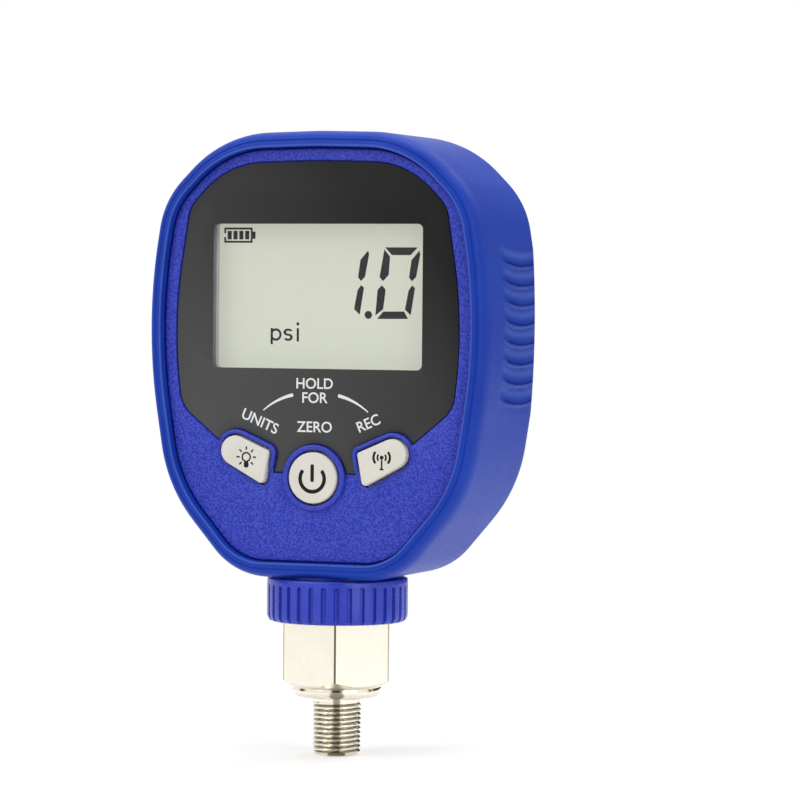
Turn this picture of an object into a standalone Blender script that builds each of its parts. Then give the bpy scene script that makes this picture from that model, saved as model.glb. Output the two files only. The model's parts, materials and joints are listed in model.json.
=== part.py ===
"""Digital pressure gauge: a handheld display head on a threaded pressure stem.

Metres, +Z up. The origin is the centre of the stem's threaded end and +Z is the stem's axis.
The display faces -Y, and +X is to the right of a person who reads it.
"""
import math

import bmesh
import bpy
from mathutils import Matrix, Vector

# Fits
CLEARANCE = 0.0003

# Head outline, seen from the front: half-width, place above the bottom or below the top, and radius
BROW_HEIGHT = 0.01884
HEAD_TOP_RADIUS = 0.072
SHOULDER_X = 0.0221
SHOULDER_DROP = 0.00056
SHOULDER_RADIUS = 0.0243
TEMPLE_X = 0.0339
TEMPLE_DROP = 0.01242
TEMPLE_RADIUS = 0.0091
WAIST_X = 0.0383
WAIST_DROP = 0.03944
WAIST_RADIUS = 0.100
CHEEK_X = 0.0330
CHEEK_RISE = 0.0177
CHEEK_RADIUS = 0.031
CHIN_X = 0.0178
CHIN_RADIUS = 0.015
ARC_STEP = math.radians(10.0)
SMALLEST_RADIUS = 0.0012

# Depths, along Y
LIP_FRONT = -0.0146
FACE = -0.0129
HEAD_BACK = 0.0224

# Rubber boot
BOOT_WALL = 0.0018
BOOT_SHOULDER_DEPTH = 0.0046
LIP_WIDTH = 0.0033
LIP_BEAD_WIDTH = 0.00085
LIP_BEAD_HEIGHT = 0.0004
BOOT_BACK_ROUND = 0.0060
BACK_OPENING_INSET = 0.0100
SCOOP_COUNT = 8
SCOOP_PITCH = 0.0040
SCOOP_TOP_DROP = 0.02574
SCOOP_LENGTH = 0.0260
SCOOP_HEIGHT = 0.0034
SCOOP_DEPTH = 0.0010
SCOOP_MIDDLE_Y = 0.0080
SCOOP_TILT = math.radians(16.0)

# Case shells
CASE_WALL = 0.0024
FRONT_WALL = 0.0020
LEDGE_STEP = 0.0013
LEDGE_WIDTH = 0.0015
FACE_CHAMFER = 0.0003
SEAL_WIDTH = 0.0005
SEAL_DEPTH = 0.00085
ISLAND_RISE = 0.0017

# Screws that close the case
UPPER_SCREW_X = 0.0194
UPPER_SCREW_DROP = 0.01084
LOWER_SCREW_X = 0.0243
LOWER_SCREW_RISE = 0.0214
SCREW_SHANK_RADIUS = 0.0013
SCREW_HEAD_RADIUS = 0.0026
SCREW_HEAD_HEIGHT = 0.0020
SCREW_TIP = -0.0085
SCREW_SEAT_Y = 0.0044
BOSS_WALL = 0.0012
TOWER_BACK_GAP = 0.0018

# Printed overlay and window
OVERLAY_INSET = 0.00625
OVERLAY_THICKNESS = 0.0003
OVERLAY_RECESS = 0.0002
OVERLAY_CORNER_X = 0.0296
OVERLAY_CORNER_RISE = 0.0347
OVERLAY_CORNER_RADIUS = 0.0039
OVERLAY_SLANT_X = 0.0209
OVERLAY_SLANT_RISE = 0.02775
OVERLAY_FOOT_X = 0.0090
OVERLAY_FOOT_RISE = 0.0216
WINDOW_WIDTH = 0.0456
WINDOW_HEIGHT = 0.0292
WINDOW_RISE = 0.0425
WINDOW_CORNER = 0.0008
LENS_MARGIN = 0.0014
LENS_THICKNESS = 0.0012

# Display stack
FRAME_OPENING_MARGIN = 0.0001
FRAME_LIP = 0.0014
FRAME_WALL = 0.0012
LCD_MARGIN_X = 0.0017
LCD_MARGIN_TOP = 0.0025
LCD_MARGIN_BOTTOM = 0.0026
LCD_THICKNESS = 0.0020
BACKLIGHT_THICKNESS = 0.0020
CONNECTOR_HEIGHT = 0.0026
LED_WIDTH = 0.0014
LED_HEIGHT = 0.0110
BOARD_THICKNESS = 0.0016
BOARD_INSET = 0.0056
BOARD_RISE = 0.0140
CHIP_SIDE = 0.0080
CHIP_HEIGHT = 0.0011
CHIP_X = -0.0120
CHIP_DROP = 0.0036
RADIO_WIDTH = 0.0140
RADIO_HEIGHT = 0.0120
RADIO_DEPTH = 0.0019
RADIO_X = 0.0170
RADIO_RISE = 0.0315

# Keys
KEY_TRAVEL = 0.0008
KEY_PROUD = 0.0013
KEY_CROWN = 0.0003
KEY_FLANGE = 0.0008
KEY_FLANGE_THICKNESS = 0.0008
RIM_WIDTH = 0.0013
RIM_HEIGHT = 0.0009
POWER_KEY_RISE = 0.02055
POWER_KEY_RADIUS = 0.00533
SIDE_LOBE_X = 0.0171
SIDE_LOBE_RISE = 0.0257
SIDE_LOBE_RADIUS = 0.0032
SIDE_TIP_X = 0.0114
SIDE_TIP_RISE = 0.0201
SIDE_TIP_RADIUS = 0.0010
SIDE_HEEL_X = 0.0102
SIDE_HEEL_RISE = 0.0254
SIDE_HEEL_RADIUS = 0.00075
SIDE_PLUNGER_X = 0.0150
SIDE_PLUNGER_RISE = 0.0245
PLUNGER_RADIUS = 0.0017
MAT_THICKNESS = 0.0011
MAT_WIDTH = 0.0410
MAT_HEIGHT = 0.0160
MAT_RISE = 0.0230

# Battery bay and cells
CELL_RADIUS = 0.00725
CELL_LENGTH = 0.0505
CELL_NUB_RADIUS = 0.0027
CELL_NUB_HEIGHT = 0.0010
CELL_GAP = 0.0006
BAY_RISE = 0.0180
BAY_WALL = 0.0015
BAY_REBATE = 0.0017
DOOR_BELOW_TOP = 0.0148
SPRING_LENGTH = 0.0034
SPRING_RADIUS = 0.0030
SPRING_WIRE = 0.0004
SPRING_TURNS = 3
CONTACT_THICKNESS = 0.0004
CONTACT_WIDTH = 0.0100
DOOR_THICKNESS = 0.0016
DOOR_CORNER = 0.0030
DOOR_GRIP_COUNT = 4
DOOR_GRIP_PITCH = 0.0022
DOOR_GRIP_WIDTH = 0.0140
DOOR_GRIP_HEIGHT = 0.0010
DOOR_GRIP_DEPTH = 0.0005
DOOR_GRIP_BELOW_TOP = 0.0050

# Stem fitting, from the threaded end up
THREAD_END_RADIUS = 0.00495
THREAD_TOP_RADIUS = 0.00510
THREAD_LENGTH = 0.0107
THREAD_CHAMFER = 0.0005
RELIEF_LENGTH = 0.0011
FLANGE_THICKNESS = 0.0023
FLANGE_RADIUS = 0.00915
FLANGE_ROUND = 0.0012
HEX_CHAMFER = 0.0005
HEX_ACROSS_FLATS = 0.0220
HEX_CHAMFER_ANGLE = math.radians(30.0)
HEX_TURN = math.radians(20.0)
HEX_LENGTH = 0.0148
SPIGOT_RADIUS = 0.0096
SPIGOT_STOP_RADIUS = 0.0112
SPIGOT_STOP_HEIGHT = 0.0025
STEM_HEAD_RADIUS = 0.0085
STEM_RISE = 0.0105
PORT_RADIUS = 0.0016
POCKET_RADIUS = 0.0062
POCKET_DEPTH = 0.0085
STEM_SEAL_RADIUS = 0.0006
STEM_SEAL_DROP = 0.0030

# Pressure sensor
SENSOR_HEIGHT = 0.0040
SENSOR_SEAL_RADIUS = 0.0008
CLIP_HEIGHT = 0.0012
CLIP_WIDTH = 0.0018
SENSOR_BOARD_THICKNESS = 0.0010
LEAD_X = 0.0020
LEAD_RADIUS = 0.0006
SOCKET_WIDTH = 0.0060
SOCKET_HEIGHT = 0.0040
SOCKET_DEPTH = 0.0023
SOCKET_RISE = 0.0195

# Neck and collar
NECK_RADIUS = 0.0116
COLLAR_WALL = 0.0013
COLLAR_OVERLAP = 0.0021
COLLAR_HEIGHT = 0.0089
COLLAR_CHAMFER = 0.0009
COLLAR_HOOD_HEIGHT = 0.0027
HOOD_CLEARANCE = 0.0004
FLUTE_COUNT = 34
FLUTE_RADIUS = 0.00072
FLUTE_DEPTH = 0.00050
FLUTE_TOP_GAP = 0.0013

# Heights worked out from the threaded end, up to the taller of the display and the cells
FLANGE_BOTTOM = THREAD_LENGTH + RELIEF_LENGTH
FLANGE_TOP = FLANGE_BOTTOM + FLANGE_THICKNESS
HEX_BOTTOM = FLANGE_TOP + HEX_CHAMFER
HEX_TOP = HEX_BOTTOM + HEX_LENGTH
COLLAR_BOTTOM = HEX_TOP - COLLAR_OVERLAP
COLLAR_TOP = COLLAR_BOTTOM + COLLAR_HEIGHT
HEAD_BOTTOM = COLLAR_TOP + CLEARANCE
STEM_SEAL_Z = HEAD_BOTTOM - STEM_SEAL_DROP
STEM_TOP = HEAD_BOTTOM + STEM_RISE
POCKET_FLOOR = STEM_TOP - POCKET_DEPTH
WINDOW_LOW = HEAD_BOTTOM + WINDOW_RISE
WINDOW_HIGH = WINDOW_LOW + WINDOW_HEIGHT
WINDOW_MIDDLE_Z = WINDOW_LOW + WINDOW_HEIGHT / 2
BAY_BOTTOM = HEAD_BOTTOM + BAY_RISE
LOW_CONTACT = BAY_BOTTOM + CLEARANCE
LOW_FREE = LOW_CONTACT + CONTACT_THICKNESS + CLEARANCE
SPRING_ROOM = SPRING_LENGTH + CLEARANCE
HIGH_FREE = LOW_FREE + SPRING_ROOM + CELL_LENGTH
HIGH_CONTACT = HIGH_FREE + CLEARANCE
BAY_TOP = HIGH_CONTACT + CONTACT_THICKNESS + CLEARANCE
DOOR_LOW = BAY_BOTTOM - BAY_REBATE + CLEARANCE
DOOR_HIGH = BAY_TOP + BAY_REBATE - CLEARANCE
HEAD_TOP = max(WINDOW_HIGH + BROW_HEIGHT, DOOR_HIGH + DOOR_BELOW_TOP)
SHOULDER_Z = HEAD_TOP - SHOULDER_DROP
TEMPLE_Z = HEAD_TOP - TEMPLE_DROP
WAIST_Z = HEAD_TOP - WAIST_DROP
CHEEK_Z = HEAD_BOTTOM + CHEEK_RISE
SCOOP_TOP_Z = HEAD_TOP - SCOOP_TOP_DROP
UPPER_SCREW_Z = HEAD_TOP - UPPER_SCREW_DROP
LOWER_SCREW_Z = HEAD_BOTTOM + LOWER_SCREW_RISE
OVERLAY_CORNER_Z = HEAD_BOTTOM + OVERLAY_CORNER_RISE
OVERLAY_SLANT_Z = HEAD_BOTTOM + OVERLAY_SLANT_RISE
OVERLAY_FOOT_Z = HEAD_BOTTOM + OVERLAY_FOOT_RISE
BOARD_BOTTOM = HEAD_BOTTOM + BOARD_RISE
CHIP_Z = WINDOW_MIDDLE_Z - CHIP_DROP
RADIO_Z = HEAD_BOTTOM + RADIO_RISE
POWER_KEY_Z = HEAD_BOTTOM + POWER_KEY_RISE
SIDE_LOBE_Z = HEAD_BOTTOM + SIDE_LOBE_RISE
SIDE_TIP_Z = HEAD_BOTTOM + SIDE_TIP_RISE
SIDE_HEEL_Z = HEAD_BOTTOM + SIDE_HEEL_RISE
SIDE_PLUNGER_Z = HEAD_BOTTOM + SIDE_PLUNGER_RISE
MAT_MIDDLE_Z = HEAD_BOTTOM + MAT_RISE
SOCKET_BOTTOM = HEAD_BOTTOM + SOCKET_RISE

# Places worked out from the sizes above
BOOT_INNER_BACK = HEAD_BACK - BOOT_WALL
CASE_INSET = BOOT_WALL + CLEARANCE
CASE_INNER_INSET = CASE_INSET + CASE_WALL
CASE_BACK = BOOT_INNER_BACK - CLEARANCE
ISLAND_BACK = CASE_BACK + ISLAND_RISE
ISLAND_INSET = BACK_OPENING_INSET + CLEARANCE
FACE_INNER = FACE + FRONT_WALL
LEDGE_Y = FACE + LEDGE_STEP
FACE_EDGE_INSET = CASE_INSET + LEDGE_WIDTH
HALF_GAP = CLEARANCE / 2
PARTING_SPARE = CASE_WALL
OVERLAY_FRONT = FACE + OVERLAY_RECESS
OVERLAY_BACK = OVERLAY_FRONT + OVERLAY_THICKNESS
POCKET_Y = OVERLAY_BACK + CLEARANCE
LENS_FRONT = POCKET_Y
LENS_BACK = LENS_FRONT + LENS_THICKNESS
FRAME_FRONT = FACE_INNER + CLEARANCE
LCD_FRONT = FRAME_FRONT + FRAME_LIP + CLEARANCE
LCD_BACK = LCD_FRONT + LCD_THICKNESS
BACKLIGHT_FRONT = LCD_BACK + CLEARANCE
BACKLIGHT_BACK = BACKLIGHT_FRONT + BACKLIGHT_THICKNESS
STACK_BACK = BACKLIGHT_BACK + CLEARANCE
BOARD_FRONT = STACK_BACK + CLEARANCE
BOARD_BACK = BOARD_FRONT + BOARD_THICKNESS
PARTS_FRONT = BOARD_BACK + CLEARANCE
MAT_BACK = BOARD_FRONT - CLEARANCE
MAT_FRONT = MAT_BACK - MAT_THICKNESS
KEY_FRONT = FACE - KEY_PROUD
RIM_FRONT = FACE - RIM_HEIGHT
PLUNGER_TIP = BOARD_FRONT - CLEARANCE - KEY_TRAVEL
WINDOW_HALF = WINDOW_WIDTH / 2
LCD_HALF = WINDOW_HALF + LCD_MARGIN_X
LCD_LOW = WINDOW_LOW - LCD_MARGIN_BOTTOM
LCD_HIGH = WINDOW_HIGH + LCD_MARGIN_TOP
SCREW_PLACES = [
    ("upper_left", -UPPER_SCREW_X, UPPER_SCREW_Z),
    ("upper_right", UPPER_SCREW_X, UPPER_SCREW_Z),
    ("lower_left", -LOWER_SCREW_X, LOWER_SCREW_Z),
    ("lower_right", LOWER_SCREW_X, LOWER_SCREW_Z),
]
SCREW_HOLE_RADIUS = SCREW_SHANK_RADIUS + CLEARANCE
HEAD_HOLE_RADIUS = SCREW_HEAD_RADIUS + CLEARANCE
FRONT_BOSS_RADIUS = SCREW_HOLE_RADIUS + BOSS_WALL
REAR_BOSS_RADIUS = HEAD_HOLE_RADIUS + BOSS_WALL / 2
BAY_HALF = 2 * CELL_RADIUS + CELL_GAP / 2 + CELL_GAP
BAY_DOOR_SEAT = ISLAND_BACK - DOOR_THICKNESS - CLEARANCE
BAY_MIDDLE_Y = BAY_DOOR_SEAT - CLEARANCE - CELL_RADIUS
BAY_FLOOR_Y = BAY_MIDDLE_Y - CELL_RADIUS - CLEARANCE
CELL_X = CELL_RADIUS + CELL_GAP / 2
DOOR_HALF = BAY_HALF + BAY_REBATE - CLEARANCE
CASE_FLOOR_Z = HEAD_BOTTOM + CASE_INNER_INSET
SPIGOT_HOLE_RADIUS = SPIGOT_RADIUS + CLEARANCE
NECK_BOTTOM = HEX_TOP + CLEARANCE
STOP_BOTTOM = CASE_FLOOR_Z + CLEARANCE
STOP_TOP = STOP_BOTTOM + SPIGOT_STOP_HEIGHT
SENSOR_RADIUS = POCKET_RADIUS - CLEARANCE
SENSOR_SEAL_MIDDLE = POCKET_FLOOR + CLEARANCE + SENSOR_SEAL_RADIUS
SENSOR_BOTTOM = SENSOR_SEAL_MIDDLE + SENSOR_SEAL_RADIUS + CLEARANCE
SENSOR_TOP = SENSOR_BOTTOM + SENSOR_HEIGHT
SENSOR_BOARD_BOTTOM = STEM_TOP + CLEARANCE
SENSOR_BOARD_TOP = SENSOR_BOARD_BOTTOM + SENSOR_BOARD_THICKNESS
SEAL_GROOVE_RADIUS = SPIGOT_RADIUS - 2 * STEM_SEAL_RADIUS - CLEARANCE
FLUTE_TOP = COLLAR_TOP - FLUTE_TOP_GAP
COLLAR_BORE = NECK_RADIUS + CLEARANCE
HEX_CORNER_RADIUS = HEX_ACROSS_FLATS / math.sqrt(3.0)
HOOD_BORE = HEX_CORNER_RADIUS + HOOD_CLEARANCE
COLLAR_RADIUS = HOOD_BORE + COLLAR_WALL
FAR = 0.2


def start_scene():
    """Clear the scene and make one collection for the parts and one for the cutters."""
    for old in list(bpy.data.objects):
        bpy.data.objects.remove(old, do_unlink=True)
    parts = bpy.data.collections.new("digital_pressure_gauge")
    cutters = bpy.data.collections.new("cutters")
    bpy.context.scene.collection.children.link(parts)
    bpy.context.scene.collection.children.link(cutters)
    return parts, cutters


PARTS, CUTTERS = start_scene()


def finish(name, colour, roughness, metallic=0.0, alpha=1.0):
    """A Principled BSDF material from an sRGB hex colour."""
    made = bpy.data.materials.new(name)
    made.use_nodes = True
    shader = made.node_tree.nodes["Principled BSDF"]
    channels = [int(colour[i:i + 2], 16) / 255.0 for i in (0, 2, 4)]
    linear = [c / 12.92 if c <= 0.04045 else ((c + 0.055) / 1.055) ** 2.4 for c in channels]
    shader.inputs["Base Color"].default_value = (*linear, 1.0)
    shader.inputs["Roughness"].default_value = roughness
    shader.inputs["Metallic"].default_value = metallic
    shader.inputs["Alpha"].default_value = alpha
    return made


def add_object(name, mesh, material):
    """Put a mesh in the parts collection with its material."""
    made = bpy.data.objects.new(name, mesh)
    mesh.materials.append(material)
    PARTS.objects.link(made)
    return made


def close_mesh(name, form):
    """Point a bmesh's faces outwards and make it a mesh with smooth round sides."""
    bmesh.ops.recalc_face_normals(form, faces=form.faces)
    mesh = bpy.data.meshes.new(name)
    form.to_mesh(mesh)
    form.free()
    mesh.shade_smooth()
    mesh.set_sharp_from_angle(angle=math.radians(32.0))
    return mesh


def arc(centre, radius, start, end, count):
    """Points along an arc, both ends included."""
    points = []
    for i in range(count + 1):
        angle = start + (end - start) * i / count
        points.append((centre[0] + radius * math.cos(angle), centre[1] + radius * math.sin(angle)))
    return points


def line_meeting(a, b, c, d):
    """The point where the line through a and b meets the line through c and d."""
    u, v = b - a, d - c
    return a + u * ((c - a).cross(v) / u.cross(v))


def rounded_corners(corners, radii, step=ARC_STEP):
    """A closed outline that rounds each corner of a polygon, limited where two roundings meet."""
    count = len(corners)
    openings, reaches, sides = [], [], []
    for i, corner in enumerate(corners):
        opening = (corners[i - 1] - corner).angle(corners[(i + 1) % count] - corner)
        openings.append(opening)
        reaches.append(radii[i] / math.tan(opening / 2))
        sides.append(0.98 * (corners[(i + 1) % count] - corner).length)
    points = []
    for i, corner in enumerate(corners):
        before = sides[i - 1] / (reaches[i - 1] + reaches[i])
        after = sides[i] / (reaches[i] + reaches[(i + 1) % count])
        reach = reaches[i] * min(1.0, before, after)
        radius = reach * math.tan(openings[i] / 2)
        towards_last = (corners[i - 1] - corner).normalized()
        towards_next = (corners[(i + 1) % count] - corner).normalized()
        bisector = (towards_last + towards_next).normalized()
        middle = corner + bisector * radius / math.sin(openings[i] / 2)
        first = corner + towards_last * reach - middle
        last = corner + towards_next * reach - middle
        start = math.atan2(first.y, first.x)
        turn = (math.atan2(last.y, last.x) - start + math.pi) % (2 * math.pi) - math.pi
        pieces = max(3, round((math.pi - openings[i]) / step))
        points += arc(middle, radius, start, start + turn, pieces)
    return points


def inset_polygon(corners, inset):
    """Move every side of a clockwise polygon inwards by the same distance."""
    count = len(corners)
    sides = []
    for i in range(count):
        along = (corners[(i + 1) % count] - corners[i]).normalized()
        shift = Vector((along.y, -along.x)) * inset
        sides.append((corners[i] + shift, corners[(i + 1) % count] + shift))
    return [line_meeting(*sides[i - 1], *sides[i]) for i in range(count)]


def mirrored(half):
    """A closed clockwise polygon from its right half, the first point lying on the middle line."""
    return [Vector(p) for p in half] + [Vector((-x, z)) for x, z in reversed(half[1:])]


HEAD_CORNERS = mirrored([
    (0.0, HEAD_TOP), (SHOULDER_X, SHOULDER_Z), (TEMPLE_X, TEMPLE_Z),
    (WAIST_X, WAIST_Z), (CHEEK_X, CHEEK_Z), (CHIN_X, HEAD_BOTTOM),
])
HALF_RADII = [
    HEAD_TOP_RADIUS, SHOULDER_RADIUS, TEMPLE_RADIUS,
    WAIST_RADIUS, CHEEK_RADIUS, CHIN_RADIUS,
]
HEAD_RADII = HALF_RADII + HALF_RADII[:0:-1]


def head_outline(inset=0.0):
    """The head's outline from the front, moved inwards by the inset."""
    radii = [max(radius - inset, SMALLEST_RADIUS) for radius in HEAD_RADII]
    return rounded_corners(inset_polygon(HEAD_CORNERS, inset), radii)


def head_half_width(z):
    """Half the head's width at a height."""
    outline = head_outline()
    for (x0, z0), (x1, z1) in zip(outline, outline[1:]):
        if x0 > 0 and x1 > 0 and z0 >= z > z1:
            return x0 + (x1 - x0) * (z0 - z) / (z0 - z1)
    raise ValueError("height outside the head")


def belt(circles, grow=0.0):
    """The outline of a belt pulled round circles given clockwise as x, z and radius."""
    points = []
    count = len(circles)
    rims = [(Vector(c[:2]), c[2] + grow) for c in circles]
    for i, (middle, radius) in enumerate(rims):
        if count == 1:
            return arc(middle, radius, math.pi / 2, -3 * math.pi / 2, 28)[:-1]
        before, before_radius = rims[i - 1]
        after, after_radius = rims[(i + 1) % count]
        start = tangent_angle(before, before_radius, middle, radius)
        end = tangent_angle(middle, radius, after, after_radius)
        turn = (start - end) % (2 * math.pi)
        points += arc(middle, radius, start, start - turn, max(2, round(turn / (2.5 * ARC_STEP))))
    return points


def tangent_angle(a, a_radius, b, b_radius):
    """Direction, from each centre, of the outer tangent's touching points on two circles."""
    along = b - a
    return math.atan2(along.y, along.x) + math.acos((a_radius - b_radius) / along.length)


def rounded_box_outline(half_width, low, high, radius):
    """A rectangle with round corners, centred on the middle plane."""
    corners = [Vector(p) for p in (
        (-half_width, low), (-half_width, high), (half_width, high), (half_width, low))]
    return rounded_corners(corners, [radius] * 4, math.radians(30.0))


def loft(name, sections, material, ring=False):
    """Skin a row of outlines, each given with its depth, and cap or join its ends."""
    form = bmesh.new()
    loops = [[form.verts.new((x, y, z)) for x, z in outline] for outline, y in sections]
    pairs = list(zip(loops, loops[1:]))
    if ring:
        pairs.append((loops[-1], loops[0]))
    else:
        form.faces.new(loops[0])
        form.faces.new(loops[-1])
    for near, far in pairs:
        count = len(near)
        for i in range(count):
            form.faces.new((near[i], near[(i + 1) % count], far[(i + 1) % count], far[i]))
    return add_object(name, close_mesh(name, form), material)


def plate(name, outline, front, back, material):
    """A flat piece: an outline in the XZ plane, given its thickness along Y."""
    form = bmesh.new()
    face = form.faces.new([form.verts.new((x, front, z)) for x, z in outline])
    grown = bmesh.ops.extrude_face_region(form, geom=[face])["geom"]
    moved = [v for v in grown if isinstance(v, bmesh.types.BMVert)]
    bmesh.ops.translate(form, verts=moved, vec=(0.0, back - front, 0.0))
    return add_object(name, close_mesh(name, form), material)


def block(name, low, high, material):
    """A box between two corners."""
    form = bmesh.new()
    bmesh.ops.create_cube(form, size=1.0)
    size = [h - l for l, h in zip(low, high)]
    middle = [(h + l) / 2 for l, h in zip(low, high)]
    bmesh.ops.scale(form, vec=size, verts=form.verts)
    bmesh.ops.translate(form, vec=middle, verts=form.verts)
    return add_object(name, close_mesh(name, form), material)


def rod_y(name, x, z, radius, front, back, material, sides=16):
    """A cylinder along Y."""
    form = bmesh.new()
    bmesh.ops.create_cone(form, cap_ends=True, segments=sides, radius1=radius, radius2=radius,
                          depth=back - front)
    bmesh.ops.rotate(form, verts=form.verts, matrix=Matrix.Rotation(math.radians(90.0), 3, "X"))
    bmesh.ops.translate(form, vec=(x, (front + back) / 2, z), verts=form.verts)
    return add_object(name, close_mesh(name, form), material)


def rod_z(name, radius, low, high, material, x=0.0, y=0.0, sides=32):
    """A cylinder along Z."""
    form = bmesh.new()
    bmesh.ops.create_cone(form, cap_ends=True, segments=sides, radius1=radius, radius2=radius,
                          depth=high - low)
    bmesh.ops.translate(form, vec=(x, y, (low + high) / 2), verts=form.verts)
    return add_object(name, close_mesh(name, form), material)


def turned(name, profile, material, place=(0.0, 0.0, 0.0), along="Z", steps=28, closed=True):
    """A turned piece: a radius and height profile, outer side first from the top down."""
    form = bmesh.new()
    verts = [form.verts.new((r, 0.0, h)) for r, h in profile]
    for a, b in zip(verts, verts[1:]):
        form.edges.new((a, b))
    if closed:
        form.edges.new((verts[-1], verts[0]))
    mesh = bpy.data.meshes.new(name)
    form.to_mesh(mesh)
    form.free()
    made = add_object(name, mesh, material)
    screw = made.modifiers.new("turn", "SCREW")
    screw.steps = steps
    screw.render_steps = steps
    screw.use_merge_vertices = True
    screw.merge_threshold = 0.00001
    settle(made)
    if along == "Y":
        made.data.transform(Matrix.Rotation(math.radians(90.0), 4, "X"))
    made.data.transform(Matrix.Translation(place))
    return made


def settle(made):
    """Apply an object's modifiers, so that its mesh is its final shape."""
    shape = bpy.data.meshes.new_from_object(made.evaluated_get(bpy.context.evaluated_depsgraph_get()))
    made.modifiers.clear()
    made.data = shape
    form = bmesh.new()
    form.from_mesh(shape)
    bmesh.ops.recalc_face_normals(form, faces=form.faces)
    form.to_mesh(shape)
    form.free()
    shape.shade_smooth()
    shape.set_sharp_from_angle(angle=math.radians(32.0))


def combine(made, others, operation):
    """Cut or join other objects with one, and keep the cutters aside."""
    for other in others:
        PARTS.objects.unlink(other)
        CUTTERS.objects.link(other)
        other.hide_render = True
        other.display_type = "WIRE"
        boolean = made.modifiers.new(other.name, "BOOLEAN")
        boolean.operation = operation
        boolean.solver = "EXACT"
        boolean.object = other
    settle(made)


def cut(made, *cutters):
    combine(made, cutters, "DIFFERENCE")


def join(made, *others):
    combine(made, others, "UNION")


RUBBER = finish("boot_rubber", "1F47B5", 0.55)
CASE_PLASTIC = finish("case_abs", "3340C4", 0.50)
COLLAR_PLASTIC = finish("collar_abs", "2E3FC0", 0.45)
OVERLAY_PRINT = finish("overlay_print", "3F403F", 0.35)
CLEAR = finish("window_acrylic", "F4F6F2", 0.05, alpha=0.25)
LCD = finish("lcd_glass", "CFD2C0", 0.15)
WHITE_PLASTIC = finish("white_styrene", "E4E5E0", 0.45)
DIFFUSER = finish("diffuser_acrylic", "F2F4EE", 0.30)
LED_EPOXY = finish("led_epoxy", "F3E9B4", 0.30)
SILICONE = finish("grey_silicone", "8C9092", 0.60)
PINK_RUBBER = finish("elastomer_strip", "D58C8C", 0.60)
BOARD = finish("board_laminate", "1E6B3C", 0.45)
CHIP = finish("chip_epoxy", "1A1A1C", 0.50)
CAN = finish("tinned_can", "B9BCBE", 0.30, 1.0)
KEY_PLASTIC = finish("key_abs", "E6E2D8", 0.45)
STAINLESS = finish("stem_stainless", "D9D6CF", 0.22, 1.0)
SPRING_STEEL = finish("spring_steel", "B4B6B8", 0.30, 1.0)
ZINC_STEEL = finish("screw_zinc", "A9ABAE", 0.35, 1.0)
SEAL_RUBBER = finish("nitrile_seal", "16171A", 0.65)
CERAMIC = finish("sensor_ceramic", "E9E7E0", 0.40)
CELL_SLEEVE = finish("cell_sleeve", "55585C", 0.35)
NICKEL = finish("contact_nickel", "C7C4BA", 0.28, 1.0)
LEAD_JACKET = finish("lead_jacket", "C9CACB", 0.50)
SOCKET_NYLON = finish("socket_nylon", "ECE9DE", 0.45)

POWER_CIRCLES = [(0.0, POWER_KEY_Z, POWER_KEY_RADIUS)]


def side_circles(side):
    """The three circles that a side key is drawn round, clockwise from the front."""
    circles = [
        (side * SIDE_HEEL_X, SIDE_HEEL_Z, SIDE_HEEL_RADIUS),
        (side * SIDE_LOBE_X, SIDE_LOBE_Z, SIDE_LOBE_RADIUS),
        (side * SIDE_TIP_X, SIDE_TIP_Z, SIDE_TIP_RADIUS),
    ]
    return circles if side > 0 else circles[::-1]


KEYS = [
    ("power_key", POWER_CIRCLES, 0.0, POWER_KEY_Z),
    ("light_key", side_circles(-1), -SIDE_PLUNGER_X, SIDE_PLUNGER_Z),
    ("wireless_key", side_circles(1), SIDE_PLUNGER_X, SIDE_PLUNGER_Z),
]


def rim_outlines(grow=0.0):
    """The outer outline of the raised rim round each key."""
    return [belt(circles, CLEARANCE + RIM_WIDTH + grow) for name, circles, x, z in KEYS]


def rim_cut_line(side, front, back):
    """A block below the slanting line where a side key's rim ends."""
    foot = Vector((side * OVERLAY_FOOT_X, OVERLAY_FOOT_Z))
    top = Vector((side * (SIDE_LOBE_X + SIDE_LOBE_RADIUS + RIM_WIDTH), SIDE_LOBE_Z + RIM_WIDTH))
    along = (top - foot).normalized()
    down = Vector((along.y, -along.x)) * side
    low = foot - along * LIP_WIDTH
    high = top + along * LIP_WIDTH
    depth = SIDE_LOBE_RADIUS * 3
    outline = [low, high, high + down * depth, low + down * depth]
    return plate("below_rim", outline, front, back, CASE_PLASTIC)


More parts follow.
